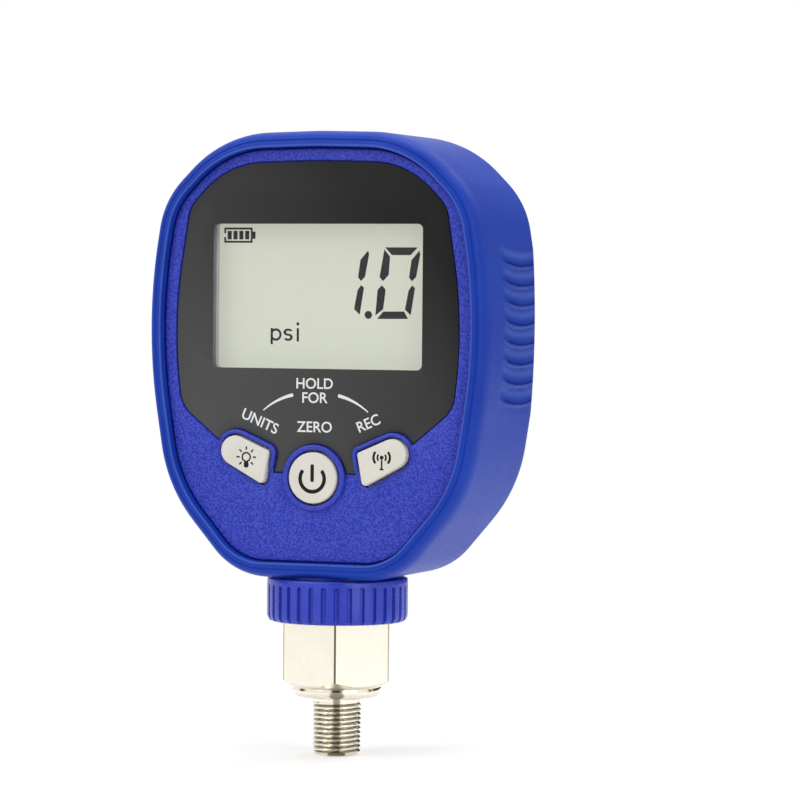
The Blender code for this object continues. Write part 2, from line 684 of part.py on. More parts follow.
def make_boot():
    """The moulded rubber boot: a beaded lip, a rounded back edge and grip scoops on both sides."""
    flank_front = LIP_FRONT + BOOT_SHOULDER_DEPTH
    lip_outer = LIP_WIDTH - LIP_BEAD_WIDTH
    lip_low = LIP_FRONT + LIP_BEAD_HEIGHT
    flank_back = HEAD_BACK - BOOT_BACK_ROUND
    inner_round = BOOT_BACK_ROUND - BOOT_WALL
    profile = []
    for i in range(4):
        angle = math.radians(90.0) * i / 3
        inset = lip_outer * (1 - math.cos(angle))
        profile.append((inset, flank_front + (lip_low - flank_front) * math.sin(angle)))
    profile.append((lip_outer + LIP_BEAD_HEIGHT / 3, LIP_FRONT + LIP_BEAD_HEIGHT / 4))
    profile.append((lip_outer + LIP_BEAD_HEIGHT, LIP_FRONT))
    profile.append((LIP_WIDTH - LIP_BEAD_HEIGHT / 2, LIP_FRONT))
    profile.append((LIP_WIDTH, LIP_FRONT + LIP_BEAD_HEIGHT / 2))
    profile.append((LIP_WIDTH, LEDGE_Y - CLEARANCE))
    profile.append((BOOT_WALL, LEDGE_Y - CLEARANCE))
    middle = (BOOT_BACK_ROUND, flank_back)
    profile += arc(middle, inner_round, math.pi, math.pi / 2, 2)
    profile.append((BACK_OPENING_INSET, BOOT_INNER_BACK))
    profile.append((BACK_OPENING_INSET, HEAD_BACK - LIP_BEAD_HEIGHT))
    profile.append((BACK_OPENING_INSET - LIP_BEAD_HEIGHT, HEAD_BACK))
    profile += arc(middle, BOOT_BACK_ROUND, math.pi / 2, math.pi, 4)
    boot = loft("rubber_boot", [(head_outline(inset), y) for inset, y in profile], RUBBER, ring=True)
    hole = rod_z("boot_stem_hole", NECK_RADIUS + CLEARANCE, 0.0, CASE_FLOOR_Z, RUBBER, sides=32)
    cut(boot, hole, scoop_cutter(1), scoop_cutter(-1))


def scoop_cutter(side):
    """The row of tilted ellipsoids that scoops the finger grips out of one flank."""
    form = bmesh.new()
    reach = SCOOP_HEIGHT / 2
    for i in range(SCOOP_COUNT):
        z = SCOOP_TOP_Z - i * SCOOP_PITCH
        ball = bmesh.ops.create_uvsphere(form, u_segments=8, v_segments=6, radius=1.0)["verts"]
        bmesh.ops.rotate(form, verts=ball, matrix=Matrix.Rotation(math.radians(90.0), 3, "X"))
        bmesh.ops.scale(form, verts=ball, vec=(reach, SCOOP_LENGTH / 2, reach))
        tilt = Matrix.Rotation(side * SCOOP_TILT, 3, "Y")
        bmesh.ops.rotate(form, verts=ball, matrix=tilt)
        x = side * (head_half_width(z) + reach - SCOOP_DEPTH)
        bmesh.ops.translate(form, verts=ball, vec=(x, SCOOP_MIDDLE_Y, z))
    return add_object("scoops", close_mesh("scoops", form), RUBBER)


def neck_tube(name):
    """The round neck under the case, which the stem's spigot turns in."""
    return rod_z(name, NECK_RADIUS, NECK_BOTTOM, CASE_FLOOR_Z - CASE_WALL / 2, CASE_PLASTIC)


def neck_bore(name):
    """The bore for the spigot, with room above it for the stop that keeps the stem in."""
    bore = rod_z(name, SPIGOT_HOLE_RADIUS, 0.0, STOP_BOTTOM, CASE_PLASTIC)
    room = rod_z(name + "_room", SPIGOT_STOP_RADIUS + CLEARANCE, CASE_FLOOR_Z, STOP_TOP + CLEARANCE,
                 CASE_PLASTIC)
    join(bore, room)
    return bore


def make_front_case():
    """The front shell: face, overlay pocket, window hole, key holes with rims, and screw bosses."""
    sections = [
        (head_outline(CASE_INNER_INSET), FACE_INNER),
        (head_outline(CASE_INNER_INSET), PARTING_SPARE),
        (head_outline(CASE_INSET), PARTING_SPARE),
        (head_outline(CASE_INSET), LEDGE_Y),
        (head_outline(FACE_EDGE_INSET), LEDGE_Y),
        (head_outline(FACE_EDGE_INSET), FACE + FACE_CHAMFER),
        (head_outline(FACE_EDGE_INSET + FACE_CHAMFER), FACE),
    ]
    case = loft("front_case", sections, CASE_PLASTIC)
    pocket = plate("overlay_pocket", overlay_outline(-CLEARANCE), -FAR, POCKET_Y, CASE_PLASTIC)
    cut(case, pocket)
    rims = []
    for outline in rim_outlines():
        rims.append(plate("key_rim", outline, RIM_FRONT, FACE_INNER, CASE_PLASTIC))
    for rim, side in ((rims[1], -1), (rims[2], 1)):
        cut(rim, rim_cut_line(side, -FAR, FACE))
    bosses = []
    for name, x, z in SCREW_PLACES:
        boss_front = FACE_INNER - CLEARANCE
        bosses.append(rod_y("boss_" + name, x, z, FRONT_BOSS_RADIUS, boss_front, PARTING_SPARE,
                            CASE_PLASTIC, 16))
    join(case, *rims, *bosses, neck_tube("front_neck"))
    holes = [neck_bore("front_neck_bore"), behind_parting_plane(), seal_groove()]
    for name, x, z in SCREW_PLACES:
        tip = SCREW_TIP - CLEARANCE
        holes.append(rod_y("thread_" + name, x, z, SCREW_HOLE_RADIUS, tip, FAR, CASE_PLASTIC, 12))
    for name, circles, x, z in KEYS:
        holes.append(plate(name + "_hole", belt(circles, CLEARANCE), -FAR, 0.0, CASE_PLASTIC))
    lens_room = LENS_MARGIN + CLEARANCE
    hole = rounded_box_outline(WINDOW_HALF + lens_room, WINDOW_LOW - lens_room,
                               WINDOW_HIGH + lens_room, WINDOW_CORNER)
    holes.append(plate("window_hole", hole, -FAR, 0.0, CASE_PLASTIC))
    cut(case, *holes)


def behind_parting_plane():
    """Everything behind the plane where the two case halves meet."""
    return block("behind_parting", (-FAR, -HALF_GAP, -FAR), (FAR, FAR, FAR), CASE_PLASTIC)


def seal_section(name, margin, front, back):
    """A ring that follows the middle of the case wall."""
    middle = CASE_INSET + CASE_WALL / 2
    outer = head_outline(middle - SEAL_WIDTH / 2 - margin)
    inner = head_outline(middle + SEAL_WIDTH / 2 + margin)
    sections = [(outer, front), (inner, front), (inner, back), (outer, back)]
    return loft(name, sections, SEAL_RUBBER, ring=True)


def seal_groove():
    """The groove for the seal, which stops at the neck."""
    bottom = -HALF_GAP - SEAL_DEPTH - CLEARANCE
    groove = seal_section("seal_groove", CLEARANCE, bottom, FAR)
    cut(groove, neck_gap("groove_neck_gap", 0.0))
    return groove


def neck_gap(name, margin):
    """The block that keeps the seal and its groove away from the neck's bore."""
    half = NECK_RADIUS + margin
    return block(name, (-half, -FAR, 0.0), (half, 2 * FAR, CASE_FLOOR_Z + CASE_WALL), CASE_PLASTIC)


def make_case_seal():
    """The rubber cord that lies in the front shell's groove."""
    seal = seal_section("case_seal", 0.0, -HALF_GAP - SEAL_DEPTH, -HALF_GAP)
    cut(seal, neck_gap("seal_neck_gap", CLEARANCE))


def make_rear_case():
    """The rear shell: rounded back, raised island, battery bay, counterbored screw bosses."""
    flank_back = HEAD_BACK - BOOT_BACK_ROUND
    outer_round = BOOT_BACK_ROUND - CASE_INSET
    inner_round = BOOT_BACK_ROUND - CASE_INNER_INSET
    middle = (BOOT_BACK_ROUND, flank_back)
    profile = arc(middle, inner_round, math.pi / 2, math.pi, 2)
    profile += [(CASE_INNER_INSET, -PARTING_SPARE), (CASE_INSET, -PARTING_SPARE)]
    profile += arc(middle, outer_round, math.pi, math.pi / 2, 3)
    profile += [
        (ISLAND_INSET, CASE_BACK),
        (ISLAND_INSET, ISLAND_BACK - FACE_CHAMFER),
        (ISLAND_INSET + FACE_CHAMFER, ISLAND_BACK),
    ]
    case = loft("rear_case", [(head_outline(inset), y) for inset, y in profile], CASE_PLASTIC)
    bay_outer = BAY_REBATE + BAY_WALL
    added = [
        block("bay_walls", (-BAY_HALF - bay_outer, BAY_FLOOR_Y - BAY_WALL, BAY_BOTTOM - bay_outer),
              (BAY_HALF + bay_outer, CASE_BACK - CLEARANCE, BAY_TOP + bay_outer), CASE_PLASTIC),
        neck_tube("rear_neck"),
    ]
    for name, x, z in SCREW_PLACES:
        back = CASE_BACK - TOWER_BACK_GAP
        added.append(rod_y("tower_" + name, x, z, REAR_BOSS_RADIUS, -PARTING_SPARE, back,
                           CASE_PLASTIC, 16))
    join(case, *added)
    cutters = [
        block("bay_hollow", (-BAY_HALF, BAY_FLOOR_Y, BAY_BOTTOM), (BAY_HALF, FAR, BAY_TOP), CASE_PLASTIC),
        plate("door_rebate", rounded_box_outline(
            DOOR_HALF + CLEARANCE, DOOR_LOW - CLEARANCE, DOOR_HIGH + CLEARANCE,
            DOOR_CORNER + CLEARANCE), BAY_DOOR_SEAT, FAR, CASE_PLASTIC),
        neck_bore("rear_neck_bore"),
        block("before_parting", (-FAR, -FAR, -FAR), (FAR, HALF_GAP, FAR), CASE_PLASTIC),
    ]
    for name, x, z in SCREW_PLACES:
        cutters.append(rod_y("shank_" + name, x, z, SCREW_HOLE_RADIUS, -FAR, FAR, CASE_PLASTIC, 12))
        cutters.append(rod_y("head_" + name, x, z, HEAD_HOLE_RADIUS, SCREW_SEAT_Y, FAR, CASE_PLASTIC, 16))
    cut(case, *cutters)


def make_case_screws():
    """Four round-headed screws that run through the rear towers into the front bosses."""
    seat = SCREW_SEAT_Y + CLEARANCE
    for name, x, z in SCREW_PLACES:
        profile = [
            (0.0, -SCREW_TIP), (SCREW_SHANK_RADIUS / 2, -SCREW_TIP),
            (SCREW_SHANK_RADIUS, -SCREW_TIP - SCREW_SHANK_RADIUS), (SCREW_SHANK_RADIUS, -seat),
            (SCREW_HEAD_RADIUS, -seat), (SCREW_HEAD_RADIUS, -seat - SCREW_HEAD_HEIGHT / 2),
            (SCREW_HEAD_RADIUS / 2, -seat - SCREW_HEAD_HEIGHT), (0.0, -seat - SCREW_HEAD_HEIGHT),
        ]
        turned("case_screw_" + name, profile, ZINC_STEEL, (x, 0.0, z), "Y", 12, closed=False)


def overlay_outline(inset=0.0):
    """The printed overlay: the head's outline set in, with lower shoulders and a narrow foot."""
    upper = inset_polygon(HEAD_CORNERS, OVERLAY_INSET + inset)
    top, shoulder, temple, waist = upper[0], upper[1], upper[2], upper[3]
    half = [
        (0.0, top.y), (shoulder.x, shoulder.y), (temple.x, temple.y), (waist.x, waist.y),
        (OVERLAY_CORNER_X - inset, OVERLAY_CORNER_Z),
        (OVERLAY_SLANT_X, OVERLAY_SLANT_Z + inset),
        (OVERLAY_FOOT_X, OVERLAY_FOOT_Z + inset),
    ]
    half_radii = [radius - OVERLAY_INSET - inset for radius in HALF_RADII[:4]]
    half_radii += [OVERLAY_CORNER_RADIUS - inset, SMALLEST_RADIUS, SMALLEST_RADIUS]
    return rounded_corners(mirrored(half), half_radii + half_radii[:0:-1])


def make_overlay():
    """The printed film in the face, open at the window and round the key rims."""
    overlay = plate("graphic_overlay", overlay_outline(), OVERLAY_FRONT, OVERLAY_BACK, OVERLAY_PRINT)
    window = rounded_box_outline(WINDOW_HALF, WINDOW_LOW, WINDOW_HIGH, WINDOW_CORNER)
    cutters = [plate("overlay_window", window, -FAR, 0.0, OVERLAY_PRINT)]
    for outline in rim_outlines(CLEARANCE):
        cutters.append(plate("overlay_key_gap", outline, -FAR, 0.0, OVERLAY_PRINT))
    cut(overlay, *cutters)


def make_window_lens():
    """The clear window behind the overlay."""
    outline = rounded_box_outline(WINDOW_HALF + LENS_MARGIN, WINDOW_LOW - LENS_MARGIN,
                                  WINDOW_HIGH + LENS_MARGIN, WINDOW_CORNER)
    plate("window_lens", outline, LENS_FRONT, LENS_BACK, CLEAR)


def make_lcd_frame():
    """The white frame that holds the display glass against the window."""
    wall = CLEARANCE + FRAME_WALL
    frame = block("lcd_frame", (-LCD_HALF - wall, FRAME_FRONT, LCD_LOW - wall),
                  (LCD_HALF + wall, STACK_BACK, LCD_HIGH + wall), WHITE_PLASTIC)
    opening = rounded_box_outline(WINDOW_HALF + FRAME_OPENING_MARGIN, WINDOW_LOW - FRAME_OPENING_MARGIN,
                                  WINDOW_HIGH + FRAME_OPENING_MARGIN, WINDOW_CORNER)
    pocket = block("frame_pocket", (-LCD_HALF - CLEARANCE, LCD_FRONT - CLEARANCE, LCD_LOW - CLEARANCE),
                   (LCD_HALF + CLEARANCE, FAR, LCD_HIGH + CLEARANCE), WHITE_PLASTIC)
    cut(frame, plate("frame_opening", opening, -FAR, 0.0, WHITE_PLASTIC), pocket)


def make_display():
    """The display glass, its backlight, and the rubber strip that connects it to the board."""
    block("lcd_glass", (-LCD_HALF, LCD_FRONT, LCD_LOW), (LCD_HALF, LCD_BACK, LCD_HIGH), LCD)
    strip_top = LCD_LOW + CONNECTOR_HEIGHT
    block("lcd_connector", (-WINDOW_HALF, BACKLIGHT_FRONT, LCD_LOW + CLEARANCE),
          (WINDOW_HALF, STACK_BACK, strip_top), PINK_RUBBER)
    led_left = LCD_HALF - LED_WIDTH
    block("backlight_panel", (-LCD_HALF + CLEARANCE, BACKLIGHT_FRONT, strip_top + CLEARANCE),
          (led_left - CLEARANCE, BACKLIGHT_BACK, LCD_HIGH), DIFFUSER)
    block("backlight_led", (led_left, BACKLIGHT_FRONT, WINDOW_MIDDLE_Z - LED_HEIGHT / 2),
          (LCD_HALF, BACKLIGHT_BACK, WINDOW_MIDDLE_Z + LED_HEIGHT / 2), LED_EPOXY)


def make_board():
    """The main circuit board with its parts on the back."""
    board = plate("main_board", head_outline(BOARD_INSET), BOARD_FRONT, BOARD_BACK, BOARD)
    cutters = [block("board_foot", (-FAR, -FAR, 0.0), (FAR, FAR, BOARD_BOTTOM), BOARD)]
    for name, x, z in SCREW_PLACES:
        cutters.append(rod_y("board_hole_" + name, x, z, FRONT_BOSS_RADIUS + CLEARANCE, -FAR, FAR, BOARD))
    cut(board, *cutters)
    half = CHIP_SIDE / 2
    block("processor_chip", (CHIP_X - half, PARTS_FRONT, CHIP_Z - half),
          (CHIP_X + half, PARTS_FRONT + CHIP_HEIGHT, CHIP_Z + half), CHIP)
    block("radio_module", (RADIO_X - RADIO_WIDTH / 2, PARTS_FRONT, RADIO_Z - RADIO_HEIGHT / 2),
          (RADIO_X + RADIO_WIDTH / 2, PARTS_FRONT + RADIO_DEPTH, RADIO_Z + RADIO_HEIGHT / 2), CAN)
    block("lead_socket", (LEAD_X - SOCKET_WIDTH / 2, PARTS_FRONT, SOCKET_BOTTOM),
          (LEAD_X + SOCKET_WIDTH / 2, PARTS_FRONT + SOCKET_DEPTH, SOCKET_BOTTOM + SOCKET_HEIGHT),
          SOCKET_NYLON)


def make_keys():
    """Each key: a crowned cap, a flange behind the case wall and a plunger towards the board."""
    flange_front = FACE_INNER + CLEARANCE
    flange_back = flange_front + KEY_FLANGE_THICKNESS
    for name, circles, x, z in KEYS:
        sections = [
            (belt(circles, -2 * KEY_CROWN), KEY_FRONT),
            (belt(circles, -KEY_CROWN / 2), KEY_FRONT + KEY_CROWN / 3),
            (belt(circles), KEY_FRONT + KEY_CROWN),
            (belt(circles), flange_front),
            (belt(circles, KEY_FLANGE), flange_front),
            (belt(circles, KEY_FLANGE), flange_back),
        ]
        key = loft(name, sections, KEY_PLASTIC)
        join(key, rod_y(name + "_plunger", x, z, PLUNGER_RADIUS, flange_front, PLUNGER_TIP, KEY_PLASTIC, 16))


def make_keypad_mat():
    """The silicone mat that lies on the board, open under each plunger."""
    low = MAT_MIDDLE_Z - MAT_HEIGHT / 2
    high = MAT_MIDDLE_Z + MAT_HEIGHT / 2
    outline = rounded_box_outline(MAT_WIDTH / 2, low, high, PLUNGER_RADIUS)
    mat = plate("keypad_mat", outline, MAT_FRONT, MAT_BACK, SILICONE)
    holes = []
    for name, circles, x, z in KEYS:
        radius = PLUNGER_RADIUS + CLEARANCE
        holes.append(rod_y(name + "_mat_hole", x, z, radius, -FAR, FAR, SILICONE, 16))
    cut(mat, *holes)


def make_battery():
    """Two cells with opposite ends up, their contacts and their springs."""
    spring_top = LOW_FREE + SPRING_LENGTH
    link_y = CONTACT_WIDTH / 2
    for side, name in ((-1, "left"), (1, "right")):
        x = side * CELL_X
        body = CELL_LENGTH - CELL_NUB_HEIGHT
        lathe = [
            (0.0, CELL_LENGTH), (CELL_NUB_RADIUS, CELL_LENGTH), (CELL_NUB_RADIUS, body),
            (CELL_RADIUS - CELL_NUB_HEIGHT / 2, body), (CELL_RADIUS, body - CELL_NUB_HEIGHT / 2),
            (CELL_RADIUS, CELL_NUB_HEIGHT / 2), (CELL_RADIUS - CELL_NUB_HEIGHT / 2, 0.0), (0.0, 0.0),
        ]
        foot = spring_top + CLEARANCE if side < 0 else LOW_FREE
        if side > 0:
            lathe = [(r, CELL_LENGTH - h) for r, h in reversed(lathe)]
        turned("battery_cell_" + name, lathe, CELL_SLEEVE, (x, BAY_MIDDLE_Y, foot), steps=20, closed=False)
        block("contact_plate_" + name, (x - CONTACT_WIDTH / 2, BAY_MIDDLE_Y - link_y, LOW_CONTACT),
              (x + CONTACT_WIDTH / 2, BAY_MIDDLE_Y + link_y, LOW_CONTACT + CONTACT_THICKNESS), NICKEL)
        low = LOW_FREE if side < 0 else HIGH_FREE - SPRING_LENGTH
        coil("contact_spring_" + name, x, BAY_MIDDLE_Y, low)
    reach = CELL_X + CONTACT_WIDTH / 2
    block("contact_link", (-reach, BAY_MIDDLE_Y - link_y, HIGH_CONTACT),
          (reach, BAY_MIDDLE_Y + link_y, HIGH_CONTACT + CONTACT_THICKNESS), NICKEL)


def coil(name, x, y, low):
    """A compression spring that stands on its contact."""
    per_turn = 6
    rise = SPRING_LENGTH - 2 * SPRING_WIRE
    line = bpy.data.curves.new(name, "CURVE")
    line.dimensions = "3D"
    spline = line.splines.new("POLY")
    count = SPRING_TURNS * per_turn
    spline.points.add(count)
    for i in range(count + 1):
        angle = 2 * math.pi * i / per_turn
        place = (x + SPRING_RADIUS * math.cos(angle), y + SPRING_RADIUS * math.sin(angle))
        spline.points[i].co = (*place, low + SPRING_WIRE + rise * i / count, 1.0)
    line.bevel_depth = SPRING_WIRE
    line.bevel_resolution = 0
    line.use_fill_caps = True
    line.materials.append(SPRING_STEEL)
    PARTS.objects.link(bpy.data.objects.new(name, line))


def make_battery_door():
    """The battery door in the island's rebate, with moulded finger ridges."""
    outline = rounded_box_outline(DOOR_HALF, DOOR_LOW, DOOR_HIGH, DOOR_CORNER)
    door = plate("battery_door", outline, ISLAND_BACK - DOOR_THICKNESS, ISLAND_BACK, CASE_PLASTIC)
    grooves = []
    for i in range(DOOR_GRIP_COUNT):
        high = DOOR_HIGH - DOOR_GRIP_BELOW_TOP - i * DOOR_GRIP_PITCH
        outline = rounded_box_outline(DOOR_GRIP_WIDTH / 2, high - DOOR_GRIP_HEIGHT, high,
                                      DOOR_GRIP_HEIGHT / 2.1)
        grooves.append(plate("door_groove", outline, ISLAND_BACK - DOOR_GRIP_DEPTH, FAR, CASE_PLASTIC))
    cut(door, *grooves)


def make_stem():
    """The stainless stem: threaded nipple, flange, hexagon, sealed spigot and sensor pocket."""
    groove_half = STEM_SEAL_RADIUS + CLEARANCE
    profile = [
        (STEM_HEAD_RADIUS, STEM_TOP), (STEM_HEAD_RADIUS, STOP_TOP),
        (SPIGOT_STOP_RADIUS, STOP_TOP), (SPIGOT_STOP_RADIUS, STOP_BOTTOM),
        (SPIGOT_RADIUS, STOP_BOTTOM), (SPIGOT_RADIUS, STEM_SEAL_Z + groove_half),
        (SEAL_GROOVE_RADIUS, STEM_SEAL_Z + groove_half), (SEAL_GROOVE_RADIUS, STEM_SEAL_Z - groove_half),
        (SPIGOT_RADIUS, STEM_SEAL_Z - groove_half), (SPIGOT_RADIUS, FLANGE_TOP),
        (FLANGE_RADIUS, FLANGE_TOP),
    ]
    round_middle = (FLANGE_RADIUS - FLANGE_ROUND, FLANGE_BOTTOM + FLANGE_ROUND)
    profile += arc(round_middle, FLANGE_ROUND, 0.0, -math.pi / 2, 3)
    profile += [
        (THREAD_TOP_RADIUS, FLANGE_BOTTOM), (THREAD_TOP_RADIUS, THREAD_LENGTH),
        (THREAD_END_RADIUS, THREAD_CHAMFER),
        (THREAD_END_RADIUS - THREAD_CHAMFER, 0.0), (PORT_RADIUS, 0.0),
        (PORT_RADIUS, POCKET_FLOOR), (POCKET_RADIUS, POCKET_FLOOR), (POCKET_RADIUS, STEM_TOP),
    ]
    stem = turned("stem_fitting", profile, STAINLESS)
    join(stem, hexagon())


def hexagon():
    """The hexagon with its lower corners turned off by a cone, bored clear of the spigot's core."""
    form = bmesh.new()
    bmesh.ops.create_cone(form, cap_ends=True, segments=6, radius1=HEX_CORNER_RADIUS,
                          radius2=HEX_CORNER_RADIUS, depth=HEX_TOP - FLANGE_TOP)
    bmesh.ops.rotate(form, verts=form.verts, matrix=Matrix.Rotation(HEX_TURN, 3, "Z"))
    bmesh.ops.translate(form, vec=(0.0, 0.0, (HEX_TOP + FLANGE_TOP) / 2), verts=form.verts)
    body = add_object("hexagon", close_mesh("hexagon", form), STAINLESS)
    slope = math.tan(HEX_CHAMFER_ANGLE)
    flat = HEX_ACROSS_FLATS / 2 - HEX_CHAMFER / slope
    wide = HEX_CORNER_RADIUS * 1.2
    profile = [
        (0.0, HEX_TOP + CLEARANCE), (wide, HEX_TOP + CLEARANCE),
        (wide, FLANGE_TOP + (wide - flat) * slope), (flat, FLANGE_TOP), (0.0, FLANGE_TOP),
    ]
    envelope = turned("hex_envelope", profile, STAINLESS, closed=False, steps=24)
    combine(body, [envelope], "INTERSECT")
    core = rod_z("hex_core", PORT_RADIUS * 2, 0.0, FAR, STAINLESS, sides=24)
    cut(body, core)
    return body


def ring(name, major, minor, z, material, steps=24):
    """A round seal ring about the stem's axis."""
    profile = arc((major, z), minor, math.pi / 2, -3 * math.pi / 2, 6)[:-1]
    return turned(name, profile, material, steps=steps)


def make_sensor():
    """The sensor cell with its seal and clip in the stem's pocket, its board and its lead."""
    ring("stem_seal", SEAL_GROOVE_RADIUS + CLEARANCE + STEM_SEAL_RADIUS, STEM_SEAL_RADIUS,
         STEM_SEAL_Z, SEAL_RUBBER)
    seal_major = SENSOR_RADIUS - SENSOR_SEAL_RADIUS
    ring("sensor_seal", seal_major, SENSOR_SEAL_RADIUS, SENSOR_SEAL_MIDDLE, SEAL_RUBBER)
    rod_z("pressure_sensor", SENSOR_RADIUS, SENSOR_BOTTOM, SENSOR_TOP, CERAMIC, sides=32)
    clip_low = SENSOR_TOP + CLEARANCE
    clip_profile = [
        (SENSOR_RADIUS, clip_low + CLIP_HEIGHT), (SENSOR_RADIUS, clip_low),
        (SENSOR_RADIUS - CLIP_WIDTH, clip_low), (SENSOR_RADIUS - CLIP_WIDTH, clip_low + CLIP_HEIGHT),
    ]
    turned("sensor_clip", clip_profile, SPRING_STEEL, steps=24)
    rod_z("sensor_board", STEM_HEAD_RADIUS - CLEARANCE, SENSOR_BOARD_BOTTOM, SENSOR_BOARD_TOP, BOARD, sides=32)
    start = SENSOR_BOARD_TOP + CLEARANCE
    end = SOCKET_BOTTOM - CLEARANCE
    end_y = PARTS_FRONT + SOCKET_DEPTH / 2
    line = bpy.data.curves.new("sensor_lead", "CURVE")
    line.dimensions = "3D"
    spline = line.splines.new("POLY")
    count = 10
    spline.points.add(count)
    for i in range(count + 1):
        share = i / count
        sway = end_y * (1 - math.cos(math.pi * share)) / 2
        spline.points[i].co = (LEAD_X, sway, start + (end - start) * share, 1.0)
    line.bevel_depth = LEAD_RADIUS
    line.bevel_resolution = 1
    line.use_fill_caps = True
    line.materials.append(LEAD_JACKET)
    PARTS.objects.link(bpy.data.objects.new("sensor_lead", line))


def make_collar():
    """The fluted collar that clamps the two halves of the neck, hooded over the hexagon's top."""
    hood_top = COLLAR_BOTTOM + COLLAR_HOOD_HEIGHT
    profile = [
        (COLLAR_RADIUS - COLLAR_CHAMFER / 3, COLLAR_TOP), (COLLAR_RADIUS, COLLAR_TOP - COLLAR_CHAMFER / 3),
        (COLLAR_RADIUS, COLLAR_BOTTOM + COLLAR_CHAMFER * 1.6),
        (COLLAR_RADIUS - COLLAR_CHAMFER / 3, COLLAR_BOTTOM + COLLAR_CHAMFER / 2),
        (COLLAR_RADIUS - COLLAR_CHAMFER, COLLAR_BOTTOM),
        (HOOD_BORE, COLLAR_BOTTOM), (HOOD_BORE, hood_top), (COLLAR_BORE, hood_top), (COLLAR_BORE, COLLAR_TOP),
    ]
    collar = turned("lock_collar", profile, COLLAR_PLASTIC, steps=FLUTE_COUNT)
    form = bmesh.new()
    height = FLUTE_TOP - COLLAR_BOTTOM + 2 * COLLAR_CHAMFER
    for i in range(FLUTE_COUNT):
        angle = 2 * math.pi * (i + 0.5) / FLUTE_COUNT
        made = bmesh.ops.create_cone(form, cap_ends=True, segments=8, radius1=FLUTE_RADIUS,
                                     radius2=FLUTE_RADIUS, depth=height)["verts"]
        reach = COLLAR_RADIUS + FLUTE_RADIUS - FLUTE_DEPTH
        place = (reach * math.cos(angle), reach * math.sin(angle), FLUTE_TOP - height / 2)
        bmesh.ops.translate(form, verts=made, vec=place)
    flutes = add_object("flutes", close_mesh("flutes", form), COLLAR_PLASTIC)
    cut(collar, flutes)


make_boot()
make_front_case()
make_case_seal()
make_rear_case()
make_case_screws()
make_overlay()
make_window_lens()
make_lcd_frame()
make_display()
make_board()
make_keys()
make_keypad_mat()
make_battery()
make_battery_door()
make_stem()
make_sensor()
make_collar()
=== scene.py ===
"""Visible pieces, finishes and stage of a digital pressure gauge with a rubber boot.

Metres. The display faces -Y, +Z runs up the stem's axis, and the origin is the centre of the
stem's threaded end.
"""
import json
import math

import bmesh
import bpy
from bpy.props import FloatProperty, IntProperty, PointerProperty, StringProperty
from mathutils import Matrix, Vector


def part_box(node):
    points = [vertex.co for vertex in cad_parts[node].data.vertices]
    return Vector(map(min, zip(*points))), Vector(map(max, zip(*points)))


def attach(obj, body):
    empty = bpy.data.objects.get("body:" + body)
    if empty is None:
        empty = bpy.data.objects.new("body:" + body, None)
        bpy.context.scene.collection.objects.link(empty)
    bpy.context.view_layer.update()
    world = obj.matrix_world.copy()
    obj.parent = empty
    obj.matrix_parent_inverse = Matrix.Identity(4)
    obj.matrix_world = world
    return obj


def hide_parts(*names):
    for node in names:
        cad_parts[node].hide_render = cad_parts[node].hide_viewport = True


bl_info = {
    "name": "Digital pressure gauge",
    "version": (1, 0, 0),
    "blender": (4, 5, 0),
    "location": "View3D > Sidebar > Gauge",
    "description": "Builds the booted head, keys, display, collar and stem of a digital pressure gauge",
    "category": "Object",
}

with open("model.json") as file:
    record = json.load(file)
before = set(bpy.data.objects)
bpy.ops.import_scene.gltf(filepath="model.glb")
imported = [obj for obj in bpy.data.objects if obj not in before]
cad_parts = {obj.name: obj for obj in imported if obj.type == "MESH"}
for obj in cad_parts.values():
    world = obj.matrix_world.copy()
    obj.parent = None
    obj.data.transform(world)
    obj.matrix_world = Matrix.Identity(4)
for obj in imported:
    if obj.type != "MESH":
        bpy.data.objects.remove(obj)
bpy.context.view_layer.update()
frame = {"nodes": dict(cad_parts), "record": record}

MM = 0.001

# Steps of the long rounding at the head's waist, where the finger scales stand
WAIST_STEPS = 140
# Right halves of outlines, from the top: across, height, rounding in mm, and steps of each rounding
HEAD_RIGHT = [
    (0, 127.03, 72, 4), (20.94, 126.5, 24.3, 16), (34.12, 113.26, 18, 14),
    (38.3, 87.6, 112, WAIST_STEPS), (33, 54.2, 31, 14), (17.8, 36.5, 15, 18),
]
OVERLAY_RIGHT = [
    (0, 120.79, 65.75, 4), (19.44, 120.3, 18.05, 14), (27.8, 111.6, 6.5, 10), (31.5, 87.59, 93.75, 24),
    (29.4, 71.2, 6.5, 10), (20.9, 64.25, 1.2, 4), (9, 58.1, 1.2, 4),
]
# Edge of the boot's back opening, 10 mm inside the head's outline
BACK_RIGHT = [
    (0, 117.04, 62, 4), (17.84, 116.58, 14.3, 12), (24.55, 109.84, 1.2, 6), (28.17, 87.58, 90, 24),
    (23.57, 58.57, 21, 12), (13.21, 46.5, 5, 8),
]

# Depths in mm
LIP_FRONT = -14.6
KEY_FRONT = -14.2
RIM_FRONT = -13.8
FACE = -12.9
OVERLAY_FRONT = -12.7
OVERLAY_BACK = -12.4
PANE_FRONT = -12.1
LEDGE = -11.6
FACE_INNER = -10.9
FLANK_FRONT = -10.0
PARTING = 0.15
ISLAND_FOOT = 18.5
FLANK_BACK = 16.399
ISLAND_BACK = 22.0
HEAD_BACK = 22.399
# Where cutting tools begin and end, clear of the gauge
FAR_FRONT, FAR_BACK = -20.0, 30.0

CASE_INSET = 2.1
CASE_INNER = CASE_INSET + 2.4
# Radius and ends of the hole for the stem's neck in the case, and in the boot
CASE_NECK = (11.5, 20.0, 44.1)
BOOT_NECK = (11.9, 30.0, 41.0)
GAP = 0.3

